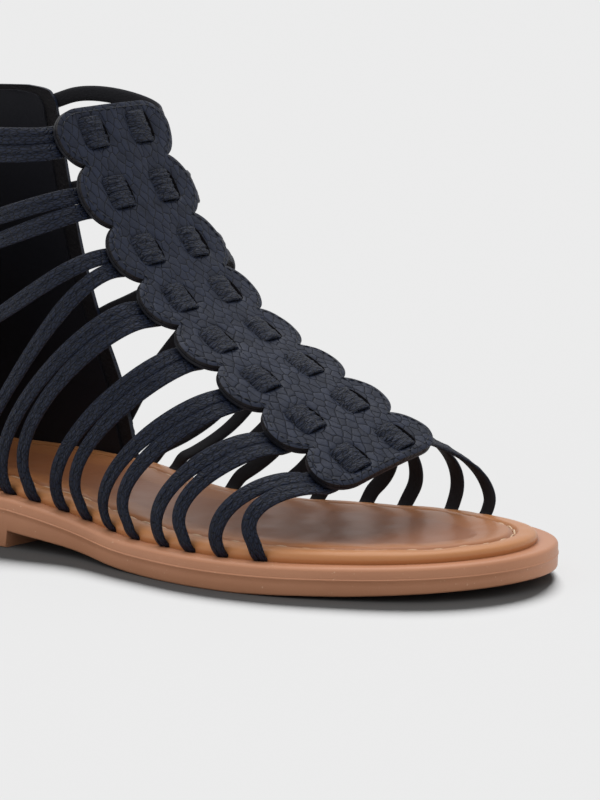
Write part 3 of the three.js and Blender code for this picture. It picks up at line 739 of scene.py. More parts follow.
# Middle of the strip by row of straps; lead and rise tilt its inner edge forwards and up.
STRIP_LINE = table(
    "row x y z lead rise",
    (0.4, 79.8, -0.5, 109.8, 0, 0),
    (1, 83.7, -0.5, 101.3, 0, 0),
    (2, 91.6, -0.5, 87.1, 0, 0),
    (3, 100.8, -0.4, 73.5, 0, 0),
    (4, 110.9, -0.4, 62.4, 0, 0.01),
    (5, 122.9, -0.2, 53.2, 0.01, 0.02),
    (6, 135.8, 0.3, 45.4, 0.03, 0.06),
    (7, 149.1, 1.2, 37.2, 0.06, 0.11),
    (8, 162, 2.2, 29.3, 0.08, 0.14),
    (8.6, 169.8, 2.8, 24.4, 0.09, 0.16),
)
strip_line = {column: through(STRIP_LINE, column, "row") for column in ("x", "y", "z", "lead", "rise")}
WINDOW_ALONG = (STRAP_PITCH + STRAP_WIDTH) / 2 + 0.3
WINDOW_ACROSS = (4.5, 12.4)


def unit(vectors):
    return vectors / np.linalg.norm(vectors, axis=-1, keepdims=True)


def dot(first, second):
    return (first * second).sum(-1, keepdims=True)


def strip_centre(row):
    return np.stack([strip_line[axis](row) for axis in "xyz"], -1)


def strip_point(row, across, lift):
    """Points on the strip: row counts along it, across goes round its arch, lift is off its middle."""
    row, across, lift = np.broadcast_arrays(*(np.asarray(v, float) for v in (row, across, lift)))
    along = unit(strip_centre(row + 0.02) - strip_centre(row - 0.02))
    wide = np.stack([strip_line["lead"](row), np.ones_like(row), strip_line["rise"](row)], -1)
    wide = unit(wide - along * dot(wide, along))
    out = np.cross(along, wide)
    turn = (across / ARCH_RADIUS)[..., None]
    normal = out * np.cos(turn) + wide * np.sin(turn)
    sideways = wide * np.cos(turn) - out * np.sin(turn)
    point = strip_centre(row) - out * ARCH_RADIUS + normal * (ARCH_RADIUS + lift[..., None])
    return point, along, sideways, normal


def strip_outline():
    """The scalloped edge, flat: (across, along) in millimetres, along counted from the first row."""
    side = []
    lobe = math.asin(ROW_PITCH / 2 / LOBE_RADIUS)
    for row in range(ROWS):
        first = -math.pi / 2 if row == 0 else -lobe
        last = math.pi / 2 if row == ROWS - 1 else lobe
        for turn in np.arange(first, last, 0.055):
            ends = (row == 0 and turn < 0) or (row == ROWS - 1 and turn > 0)
            along = row * ROW_PITCH + (END_REACH if ends else LOBE_RADIUS) * math.sin(turn)
            side.append((LOBE_CENTRE + LOBE_RADIUS * math.cos(turn), along))
    side.append((LOBE_CENTRE, (ROWS - 1) * ROW_PITCH + END_REACH))
    side = np.array(side)
    steps = np.linspace(LOBE_CENTRE, -LOBE_CENTRE, 46)[1:-1]
    toe_end = np.column_stack([steps, np.full(44, side[-1, 1])])
    heel_end = np.column_stack([-steps, np.full(44, side[0, 1])])
    return np.concatenate([side, toe_end, (side * (-1, 1))[::-1], heel_end])


def window_outline(row, side, across, along_half, bulge):
    """A window in the strip: a rounded box with a crescent on the end towards the inner side."""
    middle = (across[0] + across[1]) / 2
    half = (across[1] - across[0]) / 2
    turn = np.linspace(0, 2 * np.pi, 84, endpoint=False)
    c, s = np.cos(turn), np.sin(turn)
    corner = (np.abs(c) ** 6 + np.abs(s) ** 6) ** (-1 / 6)
    u, v = c * corner, s * corner
    crescent = np.where(side * u > 0, side * bulge * (1 - v ** 2) * np.abs(u), 0)
    return np.stack([side * (middle + u * half + crescent), row * ROW_PITCH + v * along_half], -1)


def inside(points, loop):
    """Which points lie inside a closed loop, by counting the edges that a ray crosses."""
    x, y = points[:, :1], points[:, 1:]
    x0, y0 = loop.T
    x1, y1 = np.roll(loop, -1, 0).T
    crosses = (y0 > y) != (y1 > y)
    level = np.where(y1 == y0, 1, y1 - y0)
    return (crosses & (x < x0 + (y - y0) * (x1 - x0) / level)).sum(1) % 2 == 1


def edge_distance(points, loops):
    """Distance from each point to the nearest edge of any loop."""
    best = np.full(len(points), 1e9)
    for loop in loops:
        ahead = np.roll(loop, -1, 0) - loop
        length = (ahead ** 2).sum(1)
        for part in range(0, len(points), 4000):
            some = points[part:part + 4000]
            away = some[:, None] - loop
            share = np.clip((away * ahead).sum(-1) / length, 0, 1)
            gap = np.linalg.norm(away - share[..., None] * ahead, axis=-1).min(1)
            best[part:part + 4000] = np.minimum(best[part:part + 4000], gap)
    return best


def outside_holes(points, holes):
    """Which points lie in no hole; each hole is tried only on the points near it."""
    keep = np.ones(len(points), bool)
    for hole in holes:
        near = np.flatnonzero(np.abs(points - hole.mean(0)).max(1) < 9)
        keep[near] &= ~inside(points[near], hole)
    return keep


def flat_sheet(outline, holes, spacing):
    """Even triangles inside an outline with holes; the loops' own points come first."""
    loops = [outline, *holes]
    low, high = outline.min(0), outline.max(0)
    rows = np.arange(low[1], high[1], spacing * 0.866)
    grid = np.array([(x + (j % 2) * spacing / 2, y) for j, y in enumerate(rows)
                     for x in np.arange(low[0], high[0], spacing)])
    grid = grid[inside(grid, outline)]
    grid = grid[outside_holes(grid, holes)]
    grid = grid[edge_distance(grid, loops) > spacing * 0.55]
    edges, first = [], 0
    for loop in loops:
        edges += [(first + i, first + (i + 1) % len(loop)) for i in range(len(loop))]
        first += len(loop)
    flat = np.concatenate([*loops, grid])
    made = geometry.delaunay_2d_cdt([Vector(p) for p in flat], edges, [], 1, 1e-6, False)
    points = np.array([tuple(p) for p in made[0]])
    triangles = np.array(made[2])
    centres = points[triangles].mean(1)
    return points, triangles[inside(centres, outline) & outside_holes(centres, holes)]


def strip_layer(name, holes, spacing, top, bottom, finish):
    """One layer of the strip between two lifts; top and bottom take flat points and edge distance."""
    outline = strip_outline()
    loops = [outline, *holes]
    parts, faces, flats, raw, first = [], [], [], [], 0
    for height, size, above in ((top, spacing, True), (bottom, 1.6, False)):
        flat, triangles = flat_sheet(outline, holes, size)
        distance = edge_distance(flat, loops)
        point, _, _, _ = strip_point(1 + flat[:, 1] / ROW_PITCH, flat[:, 0], height(flat, distance))
        parts.append(point)
        flats.append(flat)
        raw.append(np.clip(1 - distance / 0.3, 0, 1) if above else np.ones(len(flat)))
        faces += (triangles + first if above else triangles[:, ::-1] + first).tolist()
        first += len(flat)
    under = len(parts[0])
    start = 0
    for loop in loops:
        size = len(loop)
        faces += [(start + i, start + (i + 1) % size, under + start + (i + 1) % size, under + start + i)
                  for i in range(size)]
        start += size
    return new_piece(name, np.concatenate(parts), faces, finish, sharp=50,
                     attributes={"raw_edge": np.concatenate(raw)}, uv=np.concatenate(flats) / 10)


def strip_windows(across, along_half, bulge):
    """One window either side of the middle at each row of straps."""
    return [window_outline(row, side, across, along_half, bulge) for row in range(ROWS) for side in (1, -1)]


def snake_cells(tree, surface, across, along, feature):
    """Slanted, slightly uneven cells in the surface's own map, as a Voronoi node; for either kind of tree."""
    sway = add_node(tree, "ShaderNodeTexNoise", {"Vector": surface, "Scale": 3, "Detail": 1})
    swayed = add_node(tree, "ShaderNodeVectorMath", {
        0: sway.outputs["Color"], 1: (0.14, 0.14, 0), 2: surface,
    }, operation="MULTIPLY_ADD")
    size = add_node(tree, "ShaderNodeCombineXYZ", {0: across, 1: along, 2: 1.0})
    scaled = add_node(tree, "ShaderNodeVectorMath", {0: swayed.outputs[0], 1: size.outputs[0]},
                      operation="MULTIPLY")
    turned = add_node(tree, "ShaderNodeVectorRotate", {"Vector": scaled.outputs[0], "Angle": 0.8},
                      rotation_type="Z_AXIS")
    return add_node(tree, "ShaderNodeTexVoronoi", {
        "Vector": turned.outputs[0], "Scale": 1, "Randomness": 0.62,
    }, voronoi_dimensions="2D", feature=feature)


def navy_finish(name, scale_size, crease_depth, tones, roughness, grain):
    """Navy leather: an embossed scale pattern in its own map with painted shade in its creases, fine pores,
    and a dark raw edge.
    """
    dark, light = tones
    material, tree, shader = new_finish(name, light, roughness, 0.22)
    place = place_in(tree)
    surface = add_node(tree, "ShaderNodeUVMap", uv_map="surface").outputs[0]
    scales = snake_cells(tree, surface, *scale_size, "DISTANCE_TO_EDGE")
    crease = spread(tree, scales.outputs["Distance"], stop=0.07, kind="SMOOTHSTEP")
    wrinkle = noise(tree, place, 330, 5)
    patch = snake_cells(tree, surface, *scale_size, "F1")
    shade = maths(tree, "MULTIPLY_ADD", patch.outputs["Color"], 0.45, wrinkle)
    # Painted shade darkens the creases between the scales; each cell's tone and the wrinkle noise vary at
    # random.
    crease_shade_and_tone = maths(tree, "MULTIPLY", crease, shade)
    tone = graded(tree, crease_shade_and_tone, (0.05, dark), (0.95, light))
    raw = add_node(tree, "ShaderNodeAttribute", attribute_name="raw_edge").outputs["Fac"]
    colour = two_tone(tree, spread(tree, raw, start=0.75), tone, (0.0130, 0.0120, 0.0140))
    fine = maths(tree, "MULTIPLY_ADD", noise(tree, place, grain, 4), 0.35, wrinkle)
    relief = maths(tree, "MULTIPLY_ADD", crease, crease_depth, fine)
    wire(tree, shader, colour, relief, 0.75, 0.00022,
         spread(tree, crease_shade_and_tone, low=roughness + 0.15, high=roughness - 0.05))
    return material


NAVY_TONES = ((0.0040, 0.0054, 0.0110), (0.0118, 0.0172, 0.0370))
SNAKE_SIZE = (4.7, 3.5)
snake_leather = navy_finish("embossed_leather", SNAKE_SIZE, 1.6, NAVY_TONES, 0.48, 2600)


def leather_top(flat, distance):
    """The leather is soft at its edge and full between the rows, with a slight ripple."""
    edge_turn = 0.32 * np.exp(-distance / 0.45)
    full = 0.12 * np.clip(distance / 4, 0, 1)
    return STRIP_HALF - edge_turn + full + 0.07 * ripple(flat[:, 0], flat[:, 1], 7, 21)


def emboss_tree():
    """Geometry nodes that press the snake-skin creases into the face of the leather."""
    tree, given = new_group("snake_emboss", {
        "Depth": "Float", "Across": "Float", "Along": "Float", "Leather": "Material",
    })
    surface = add_node(tree, "GeometryNodeInputNamedAttribute", {"Name": "surface"},
                       data_type="FLOAT_VECTOR").outputs[0]
    raw = add_node(tree, "GeometryNodeInputNamedAttribute", {"Name": "raw_edge"}, data_type="FLOAT")
    scales = snake_cells(tree, surface, given["Across"], given["Along"], "DISTANCE_TO_EDGE")
    pressed = spread(tree, scales.outputs["Distance"], stop=0.14, low=-1, high=0, kind="SMOOTHSTEP")
    faded = maths(tree, "SUBTRACT", 1, raw.outputs[0])
    offset = maths(tree, "MULTIPLY", maths(tree, "MULTIPLY", pressed, given["Depth"]), faded)
    normal = add_node(tree, "GeometryNodeInputNormal")
    move = add_node(tree, "ShaderNodeVectorMath", {0: normal.outputs[0], "Scale": offset},
                    operation="SCALE")
    moved = add_node(tree, "GeometryNodeSetPosition", {
        "Geometry": given["Geometry"], "Offset": move.outputs[0],
    })
    whole = add_node(tree, "GeometryNodeRealizeInstances", {"Geometry": moved.outputs[0]})
    dyed = add_node(tree, "GeometryNodeSetMaterial", {
        "Geometry": whole.outputs[0], "Material": given["Leather"],
    })
    add_node(tree, "NodeGroupOutput", {0: dyed.outputs[0]})
    return tree


windows = strip_windows(WINDOW_ACROSS, WINDOW_ALONG, 0.7)
strip = strip_layer("strip_leather", windows, 0.36, leather_top,
                    lambda flat, distance: np.full(len(flat), 0.02), snake_leather)
strip = grow(strip, emboss_tree(), depth=0.1 * MM, across=SNAKE_SIZE[0], along=SNAKE_SIZE[1],
             leather=snake_leather)
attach(strip, "root")
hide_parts("centre_strip")

# ---------------------------------------------------------------- strip lining
# The strip is backed with a thin, smooth black lining that is glued on and cut to the same scallops.
# It has a slot at each end of every window, where the straps pass through it.


def black_finish(name, colour, roughness, grain):
    """Plain black lining with a faint cloth-like grain."""
    material, tree, shader = new_finish(name, colour, roughness, 0.3)
    weave = noise(tree, place_in(tree), grain, 3)
    tone = graded(tree, weave, (0, [part * 0.75 for part in colour]), (1, [part * 1.25 for part in colour]))
    wire(tree, shader, tone, weave, 0.3, 0.0001)
    return material


lining_black = black_finish("black_lining", (0.0110, 0.0115, 0.0160), 0.5, 1800)
slots = strip_windows((2.5, 5.9), WINDOW_ALONG, 0) + strip_windows((11.0, 14.4), WINDOW_ALONG, 0)
backing = strip_layer("strip_lining", slots, 1.2,
                      lambda flat, distance: -0.03 - 0.15 * np.exp(-distance / 0.3),
                      lambda flat, distance: -STRIP_HALF + 0.2 * np.exp(-distance / 0.4), lining_black)
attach(backing, "root")

# ---------------------------------------------------------------- strip stitching
# The leather and its lining are sewn together by one row of navy thread, just inside the scalloped
# edge all the way round.


def strip_stitching():
    """One closed row, an even margin inside the scalloped edge."""
    outline = strip_outline()
    ahead = unit(np.roll(outline, -1, 0) - np.roll(outline, 1, 0))
    inwards = np.stack([-ahead[:, 1], ahead[:, 0]], -1)
    line = outline + inwards * 1.35
    line = line[edge_distance(line, [outline]) > 1.25]
    line = np.concatenate([line, line[:1]])
    point, _, _, normal = strip_point(1 + line[:, 1] / ROW_PITCH, line[:, 0], STRIP_HALF + 0.02)
    return stitched("strip_stitching", [(point, normal)], pitch=2.1 * MM, stitch_length=1.6 * MM,
                    thread_radius=0.19 * MM, arch=0.36 * MM, sides=5, seed=8,
                    thread=navy_thread)


navy_thread = thread_finish("navy_thread", (0.012, 0.014, 0.021), 0)
strip_thread = strip_stitching()
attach(strip_thread, "root")

# ---------------------------------------------------------------- heel counter
# The counter is a stiffened shell of fine-grained navy leather, lasted round the heel and closed up to
# the ankle. It is sewn to its lining round the top and down both front edges, and seamed at the back.

COUNTER_INSET = 2.6
COUNTER_TOP = 108.2
LEATHER_WALL = 1.25
HALF_GIRTH = 60
# By height: how far the back is set forward, its width against the sole, and its front edge.
HEEL = table(
    "z forward narrow front",
    (13, 0, 1, 66.5),
    (22, -1, 1, 64.2),
    (32, -1, 0.99, 61.5),
    (49, 0.5, 0.93, 55),
    (64, 3, 0.89, 50.8),
    (82, 6.5, 0.88, 46.8),
    (94, 8.5, 0.9, 44),
    (101, 9.5, 0.92, 42.3),
    (105.7, 9.9, 0.93, 40.5),
    (107.5, 10.1, 0.93, 37.8),
    (COUNTER_TOP, 10.2, 0.93, 33),
)
heel_curve = {column: through(HEEL, column, "z") for column in ("forward", "narrow", "front")}


def counter_point(angle, side, z, inset):
    """Points of the counter: the sole's heel end, set forward and narrowed with height."""
    flat, along = inset_point(angle, side, inset)
    x = flat[..., 0] + heel_curve["forward"](z)
    y = flat[..., 1] * heel_curve["narrow"](z)
    return np.stack([x, y, z], -1), along


def counter_front(z):
    return angle_at(heel_curve["front"](z) - heel_curve["forward"](z))


def counter_shell(name, outside, inside_, top_drop, finish, seam):
    """One closed layer of the counter, from its outer face to its inner face."""
    heights = np.sin(np.linspace(0, np.pi / 2, 90))
    across = np.linspace(-1, 1, 141)
    share, height = np.meshgrid(across, heights)
    reach = np.abs(share)
    foot = ledge(reach * HEEL["front"][0]) - 0.5
    top = COUNTER_TOP - top_drop
    z = foot + (top - foot) * height
    angle = reach * (counter_front(z + top_drop) - top_drop / 30)
    layers, raws = [], []
    for inset, is_out in ((outside, True), (inside_, False)):
        puff = 0.12 * ripple(share * HALF_GIRTH, z, 24, 31)
        groove = seam * 0.4 * np.exp(-(share * 55 / 0.7) ** 2)
        depth = inset + puff * 0.5 + (groove if is_out else 0)
        inner, _ = counter_point(angle, INNER, z, depth)
        outer, _ = counter_point(angle, OUTER, z, depth)
        layers.append(np.where((share >= 0)[..., None], inner, outer).reshape(-1, 3))
        raws.append(np.full(share.size, 0.0 if is_out else 1.0))
    rows, columns = share.shape
    at = np.arange(rows * columns).reshape(rows, columns)
    quads = np.stack([at[:-1, :-1], at[:-1, 1:], at[1:, 1:], at[1:, :-1]], -1).reshape(-1, 4)
    faces = quads.tolist() + (quads[:, ::-1] + at.size).tolist()
    border = np.concatenate([at[0, :-1], at[:-1, -1], at[-1, :0:-1], at[:0:-1, 0]])
    ahead = np.roll(border, -1)
    faces += np.stack([border, border + at.size, ahead + at.size, ahead], -1).tolist()
    uv = np.tile(np.stack([share * HALF_GIRTH, z], -1).reshape(-1, 2) / 10, (2, 1))
    piece = new_piece(name, np.concatenate(layers), faces, finish, sharp=50,
                      attributes={"raw_edge": np.concatenate(raws)}, uv=uv)
    rounding = piece.modifiers.new("rounded_edge", "BEVEL")
    rounding.limit_method = "ANGLE"
    rounding.angle_limit = math.radians(50)
    rounding.width = 0.3 * MM
    rounding.segments = 3
    return piece


calf_leather = navy_finish("grained_leather", (9, 9), 0.6, NAVY_TONES, 0.5, 2600)
counter = counter_shell("counter_leather", COUNTER_INSET, COUNTER_INSET + LEATHER_WALL, 0, calf_leather, 1)
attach(counter, "root")
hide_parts("heel_counter")

# ---------------------------------------------------------------- counter lining
# Inside the counter is a smooth black lining of its own, glued to the leather. Its top edge stays a
# little under the leather's, so that only the leather shows from outside.

LINING_WALL = 0.9
counter_back = counter_shell("counter_lining", COUNTER_INSET + LEATHER_WALL + 0.03,
                             COUNTER_INSET + LEATHER_WALL + LINING_WALL, 1.3, lining_black, 0)
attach(counter_back, "root")

# ---------------------------------------------------------------- counter stitching
# The counter and its lining are sewn with navy waxed thread: one row just inside the free edge, round
# the top and down both fronts, and two rows that close the centre back seam.


def counter_edge_line(margin):
    """Just inside the free edge: up the outer front, round the top and down the inner front."""
    z = np.linspace(16, COUNTER_TOP - 0.01, 260)
    lines = [counter_point(counter_front(z), side, z, COUNTER_INSET)[0] for side in (OUTER, INNER)]
    back_angle = np.linspace(counter_front(np.array(COUNTER_TOP)), 0, 60)[1:]
    top_z = np.full(len(back_angle), float(COUNTER_TOP))
    over_outer, _ = counter_point(back_angle, OUTER, top_z, COUNTER_INSET)
    over_inner, _ = counter_point(back_angle, INNER, top_z, COUNTER_INSET)
    line = np.concatenate([lines[0], over_outer, over_inner[::-1][1:], lines[1][::-1]])
    ahead = unit(np.gradient(line, axis=0))
    heel_axis = np.array([38.0, 0, 0])
    out = (line - heel_axis) * (1, 1, 0)
    out = unit(out - ahead * dot(out, ahead))
    inwards = np.cross(ahead, out)
    back_middle = np.array([20.0, 0, 60])
    inwards *= np.sign(dot(inwards, back_middle - line))
    moved = line + inwards * margin + out * 0.02
    gap = np.linalg.norm(moved[:, None] - line[::4], axis=-1).min(1)
    keep = gap > margin * 0.93
    return moved[keep], out[keep]


def counter_seam_line(offset):
    """Straight up the back, a little to one side of the seam."""
    z = np.linspace(18, COUNTER_TOP - 3, 80)
    side = INNER if offset > 0 else OUTER
    angle = np.full(len(z), abs(offset) / 32)
    point, _ = counter_point(angle, side, z, COUNTER_INSET - 0.02)
    return point, np.tile((-1.0, 0, 0), (len(z), 1))


counter_thread = stitched(
    "counter_stitching", [counter_edge_line(2.0), counter_seam_line(2.2), counter_seam_line(-2.2)],
    pitch=2.3 * MM, stitch_length=1.8 * MM, thread_radius=0.17 * MM, arch=0.26 * MM, sides=5, seed=9,
    thread=navy_thread)
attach(counter_thread, "root")

# ---------------------------------------------------------------- straps
# Sixteen narrow straps, two to a row, are rolled from fine-grained navy leather and closed by a seam
# along the face. Each dives under the strip's lobe, bridges each window, and is lasted under the insole
# or laid on the counter.

# Down over the insole's edge and in under it. The upper stations are raked along the shoe by side, and
# follow a share of the arc's sweep and lean.
SOLE_TAIL = table(
    "inset height inner outer follow",
    (2.5, 4.5, 1.2, -0.7, 1.4),
    (3.1, 1.5, 0.2, -0.1, 0.4),
    (5, -0.2, 0, 0, 0),
    (15, -0.25, 0, 0, 0),
)
# How a strap weaves through the strip, from the middle out.
WEAVE = table(
    "across lift",
    (0, -2.2),
    (2.8, -2.2),
    (4.1, -0.6),
    (5.5, 0.95),
    (8.4, 1.3),
    (10.8, 0.95),
    (12.3, -0.7),
    (13.6, -2.2),
    (19.8, -2.2),
)
weave_lift = through(WEAVE, "lift", "across")
# Arc of the free lengths: reach away from the strip and up from the far end, as shares of the span,
# lift off the strip, lean outwards and sweep forwards at the far end, and how late the two straps part.
STRAP_ARCS = {(arc["row"], arc["side"]): arc for arc in records(
    "row side away up lift lean sweep part",
    (1, OUTER, 0.3, 0.3, 0, 0, 0, 1),
    (1, INNER, 0.3, 0.35, 0.1, 0, 0, 1),
    (2, OUTER, 0.3, 0.3, 0, 0, 0, 1),
    (2, INNER, 0.42, 0.3, 0, 0, 0, 1),
    (3, OUTER, 0.32, 0.3, 0, 0, 0, 1.6),
    (3, INNER, 0.42, 0.3, 0, 0, 0, 1.6),
    (4, OUTER, 0.28, 0.31, 0.3, 0, 0, 4),
    (4, INNER, 0.42, 0.61, -0.62, 0.48, 1, 2),
    (5, OUTER, 0.28, 0.29, 0, 0.1, 0, 4),
    (5, INNER, 0.43, 0.59, -0.5, 0.34, 0.83, 2),
    (6, OUTER, 0.31, 0.33, 0.24, 0.1, 0, 4),
    (6, INNER, 0.38, 0.4, -0.54, 0.19, 0.55, 2.2),
    (7, OUTER, 0.42, 0.37, 0.7, 0.05, 0, 3.2),
    (7, INNER, 0.39, 0.36, -0.78, 0.14, 0.36, 2.4),
    (8, OUTER, 0.6, 0.42, 0.75, 0, 0, 2.6),
    (8, INNER, 0.41, 0.38, -0.51, -0.03, -0.2, 1.7),
)}


def woven_length(end, side):
    """The woven length from the middle out: points and the ways across the strap, away and off."""
    offset = (-0.5 if end["strap"] == "rear" else 0.5) * STRAP_PITCH / ROW_PITCH
    across = np.linspace(0, WEAVE["across"][-1], 64)
    point, along, sideways, normal = strip_point(end["row"] + offset, side * across, weave_lift(across))
    return point, along, sideways[-1] * side, normal[-1]


def sole_tail(end, side):
    """Down over the insole's edge and in under it."""
    x = end[SIDE_NAME[side]]
    arc = STRAP_ARCS[end["row"], side]
    angle = angle_at(x + SOLE_TAIL[SIDE_NAME[side]] + arc["sweep"] * SOLE_TAIL["follow"])
    flat, along = inset_point(angle, side, SOLE_TAIL["inset"] - arc["lean"] * SOLE_TAIL["follow"] * 0.5)
    point = np.column_stack([flat, ledge(x) + SOLE_TAIL["height"]])
    return point, np.column_stack([along, np.zeros(len(along))])


FALL_ON = {INNER: "fall_in", OUTER: "fall_out"}


def counter_tail(end, side):
    """Flat on the outside of the counter, from just ahead of its front edge."""
    proud = COUNTER_INSET - 0.3 - STRAP_THICKNESS / 2 - 0.1
    z = end[SIDE_NAME[side]]
    front = counter_front(np.array(float(z)))
    back = np.linspace(-3, end["laid"], 8)
    height = z - end[FALL_ON[side]] * back
    angle = front - back / (LENGTH / 2) / np.sin(front)
    settle = np.where(back > 0, 0.3 * np.clip(back / 3, 0, 1), 0)
    point, _ = counter_point(angle, side, height, proud + settle)
    above, _ = counter_point(angle, side, height + 1, proud + settle)
    return point, unit(above - point)


def strap_ends_on(end, side):
    """One side of a strap without its free length: woven part, tail, and the way it arrives there."""
    woven = woven_length(end, side)
    if end["at"] == "sole":
        tail, tail_wide = sole_tail(end, side)
    else:
        tail, tail_wide = counter_tail(end, side)
    if tail_wide[0] @ woven[1][-1] < 0:
        tail_wide = -tail_wide
    return woven, tail, tail_wide, unit(tail[1] - tail[0])


def strap_half(end, side):
    """Stations of one side of a strap, from the middle of the strip to its end."""
    twin = next(line for line in STRAP_ENDS if line["row"] == end["row"] and line["strap"] != end["strap"])
    arc = STRAP_ARCS[end["row"], side]
    (point, wide, leaving, normal), tail, tail_wide, arriving = strap_ends_on(end, side)
    (twin_point, _, twin_leaving, _), twin_tail, _, twin_arriving = strap_ends_on(twin, side)
    start = (point[-1] + twin_point[-1]) / 2
    stop = (tail[0] + twin_tail[0]) / 2
    leaving = unit(leaving + twin_leaving + 2 * normal * arc["lift"])
    arriving = unit(arriving + twin_arriving)
    arriving = unit(arriving - np.array([arc["sweep"], side * arc["lean"], 0]))
    span = np.linalg.norm(stop - start)
    t = np.linspace(0, 1, 90)[1:-1, None]
    shared = (1 - t) ** 3 * start + t ** 3 * stop
    shared = shared + 3 * (1 - t) ** 2 * t * (start + leaving * span * arc["away"])
    shared = shared + 3 * (1 - t) * t ** 2 * (stop - arriving * span * arc["up"])
    late = t ** arc["part"]
    free = shared + (point[-1] - start) * (1 - late) + (tail[0] - stop) * late
    free_wide = unit(wide[-1] * (1 - late) + tail_wide[0] * late)
    return np.concatenate([point, free, tail]), np.concatenate([wide, free_wide, tail_wide])


def resampled(point, wide, step):
    """Even stations along a path, with its corners eased as thick leather rounds them."""
    length = np.concatenate([[0], np.cumsum(np.linalg.norm(np.diff(point, axis=0), axis=1))])
    even = np.linspace(0, length[-1], int(length[-1] / step) + 1)
    point = np.column_stack([np.interp(even, length, point[:, k]) for k in range(3)])
    wide = np.column_stack([np.interp(even, length, wide[:, k]) for k in range(3)])
    for _ in range(5):
        point[1:-1] = (point[:-2] + 2 * point[1:-1] + point[2:]) / 4
        wide[1:-1] = (wide[:-2] + 2 * wide[1:-1] + wide[2:]) / 4
    return point, wide, even


STRAP_STEP = 0.55


def strap_path(end):
    """Centre line from the outer end to the inner end, with the ways across and off the face."""
    outer, outer_wide = strap_half(end, OUTER)
    inner, inner_wide = strap_half(end, INNER)
    point = np.concatenate([outer[::-1], inner[1:]])
    wide = np.concatenate([outer_wide[::-1], inner_wide[1:]])
    point, wide, length = resampled(point, wide, STRAP_STEP)
    along = unit(np.gradient(point, axis=0))
    wide = unit(wide - along * dot(wide, along))
    return point, wide, np.cross(wide, along), length


FACE_SHARES = np.array([1, 0.985, 0.93, 0.84, 0.72, 0.58, 0.44, 0.3, 0.19, 0.11, 0.05])
BACK_SHARES = np.array([-0.95, -0.75, -0.4, 0, 0.4, 0.75, 0.95])
FACE_ACROSS = np.concatenate([FACE_SHARES, [0], -FACE_SHARES[::-1]])


def strap_section(woven):
    """Round the strap from one edge over the seamed face and back; flatter and wrinkled where woven."""
    across = np.concatenate([FACE_ACROSS, BACK_SHARES])
    is_face = np.concatenate([np.ones(len(FACE_ACROSS)), np.zeros(len(BACK_SHARES))])
    power = 2.6 + 3.4 * woven
    crown = (1 - np.abs(across) ** power) ** (1 / power)
    seam = (0.22 - 0.17 * woven) * np.exp(-(across / 0.085) ** 2)
    wrinkles = 0.05 * woven * (1 - across ** 4) * np.cos(across * 2 * np.pi * 1.2 + 1.2)
    face = crown * STRAP_THICKNESS / 2 - seam + wrinkles
    return across, np.where(is_face > 0, face, -0.85 * crown * STRAP_THICKNESS / 2), is_face


def make_strap(end):
    """One closed rolled strap along its path, rounded off at both ends."""
    point, wide, off_face, length = strap_path(end)
    off_middle = np.abs(length - length[np.argmin(np.abs(point[:, 1]))])[:, None]
    woven = np.exp(-(off_middle / 18) ** 8)
    across, off, is_face = strap_section(woven)
    number = end["row"] * 2 + (end["strap"] == "front")
    half = (STRAP_WIDTH + 0.05) / 2 + 0.26 * np.exp(-(off_middle / 52) ** 6)
    s = length[:, None]
    c = across[None, :] * half
    folds = 0.07 * ripple(c * 1.9, s * 0.45, 2.2, 40 + number)
    folds = folds + 0.07 * ripple(c * 1.1, s * 0.8, 2.9, 70 + number)
    crumple = 0.17 * woven * ripple(c * 1.7, s * 0.5, 2.1, 130 + number)
    off_here = off + (folds + crumple) * is_face * (1 - np.abs(across[None, :]) ** 4)
    from_end = np.minimum(length, length[-1] - length)[:, None]
    taper = np.sqrt(np.clip(1 - (1 - np.clip(from_end / 1.2, 0, 1)) ** 2, 0.08, 1))
    swell = 1 + 0.025 * ripple(s[:, 0], s[:, 0] * 0, 21, 100 + number)[:, None]
    stations = point[:, None] + wide[:, None] * (c * swell * taper)[..., None]
    stations = stations + off_face[:, None] * (off_here * taper)[..., None]
    rings, size = stations.shape[:2]
    faces = ring_faces(rings, size)
    faces.append(tuple(range(size))[::-1])
    faces.append(tuple(range((rings - 1) * size, rings * size)))
    steps_round = np.hypot(np.diff(across * STRAP_WIDTH / 2), np.diff(off[0]))
    round_strap = np.concatenate([[0], np.cumsum(steps_round)])
    uv = np.stack(np.broadcast_arrays(round_strap[None, :], s), -1).reshape(-1, 2) / 10
    inner_face = np.broadcast_to(1 - is_face, (rings, size)).ravel()
    name = f"rolled_strap_{end['row']}_{end['strap']}"
    return new_piece(name, stations.reshape(-1, 3), faces, rolled_leather, uv=uv,
                     attributes={"inner_face": inner_face})


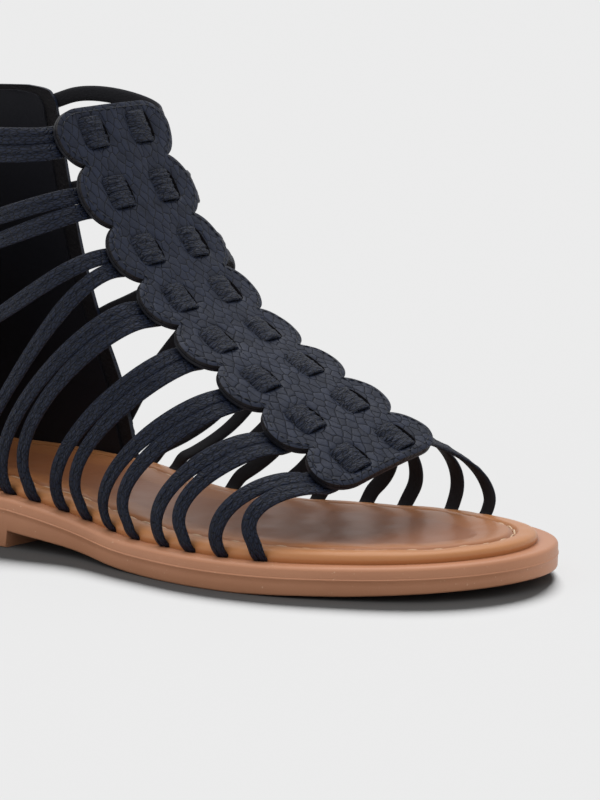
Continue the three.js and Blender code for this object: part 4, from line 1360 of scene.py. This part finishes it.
def rolled_finish():
    """Fine-grained navy leather, wrinkled along the strap with painted shade in its creases, with a plain
    black inner face.
    """
    material, tree, shader = new_finish("rolled_leather", (0.015, 0.018, 0.029), 0.46, 0.2)
    surface = add_node(tree, "ShaderNodeUVMap", uv_map="surface").outputs[0]
    drawn = add_node(tree, "ShaderNodeMapping", {
        "Vector": surface, "Rotation": (0, 0, 0.32), "Scale": (17, 5.2, 1),
    }).outputs[0]
    folds = add_node(tree, "ShaderNodeTexVoronoi", {"Vector": drawn, "Scale": 1},
                     voronoi_dimensions="2D", feature="DISTANCE_TO_EDGE")
    crease = spread(tree, folds.outputs["Distance"], stop=0.2, kind="SMOOTHSTEP")
    ripples = add_node(tree, "ShaderNodeTexNoise", {
        "Vector": drawn, "Scale": 1.3, "Detail": 6, "Roughness": 0.62,
    })
    # Painted shade darkens the creases between the folds; the ripple noise varies the tone at random. The
    # same value raises the relief.
    fold_shade_and_relief = maths(tree, "MULTIPLY", crease, ripples.outputs["Fac"])
    tone = graded(tree, fold_shade_and_relief, (0.08, (0.0030, 0.0042, 0.0090)), (0.62, (0.0135, 0.0195, 0.0410)))
    inner = add_node(tree, "ShaderNodeAttribute", attribute_name="inner_face").outputs["Fac"]
    colour = two_tone(tree, inner, tone, (0.0130, 0.0130, 0.0160))
    fine = maths(tree, "MULTIPLY_ADD", noise(tree, place_in(tree), 2400, 3), 0.3, fold_shade_and_relief)
    relief = maths(tree, "MULTIPLY", fine, spread(tree, inner, low=1, high=0.12))
    wire(tree, shader, colour, relief, 1.0, 0.0004, spread(tree, inner, low=0.44, high=0.75))
    return material


rolled_leather = rolled_finish()
SEAM_CLEAR = 21
strap_seams = []
for end in STRAP_ENDS:
    strap = make_strap(end)
    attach(strap, "root")
    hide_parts(f"strap_{end['row']}_{end['strap']}")
    point, wide, off_face, length = strap_path(end)
    middle = np.argmin(np.abs(point[:, 1]))
    seam = point + off_face * (STRAP_THICKNESS / 2 - 0.16)
    before, after = int(middle - SEAM_CLEAR / STRAP_STEP), int(middle + SEAM_CLEAR / STRAP_STEP)
    strap_seams += [(seam[4:before], off_face[4:before]), (seam[after:-4], off_face[after:-4])]

# ---------------------------------------------------------------- strap seams
# Each rolled strap is closed by a row of small stitches in navy waxed thread, sunk in the fold along
# the middle of its face. The rows stop short of the strip, where the straps are woven.

seam_thread = stitched("strap_seams", strap_seams, pitch=1.9 * MM, stitch_length=1.25 * MM,
                       thread_radius=0.15 * MM, arch=0.26 * MM, sides=4, seed=12, thread=navy_thread)
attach(seam_thread, "root")
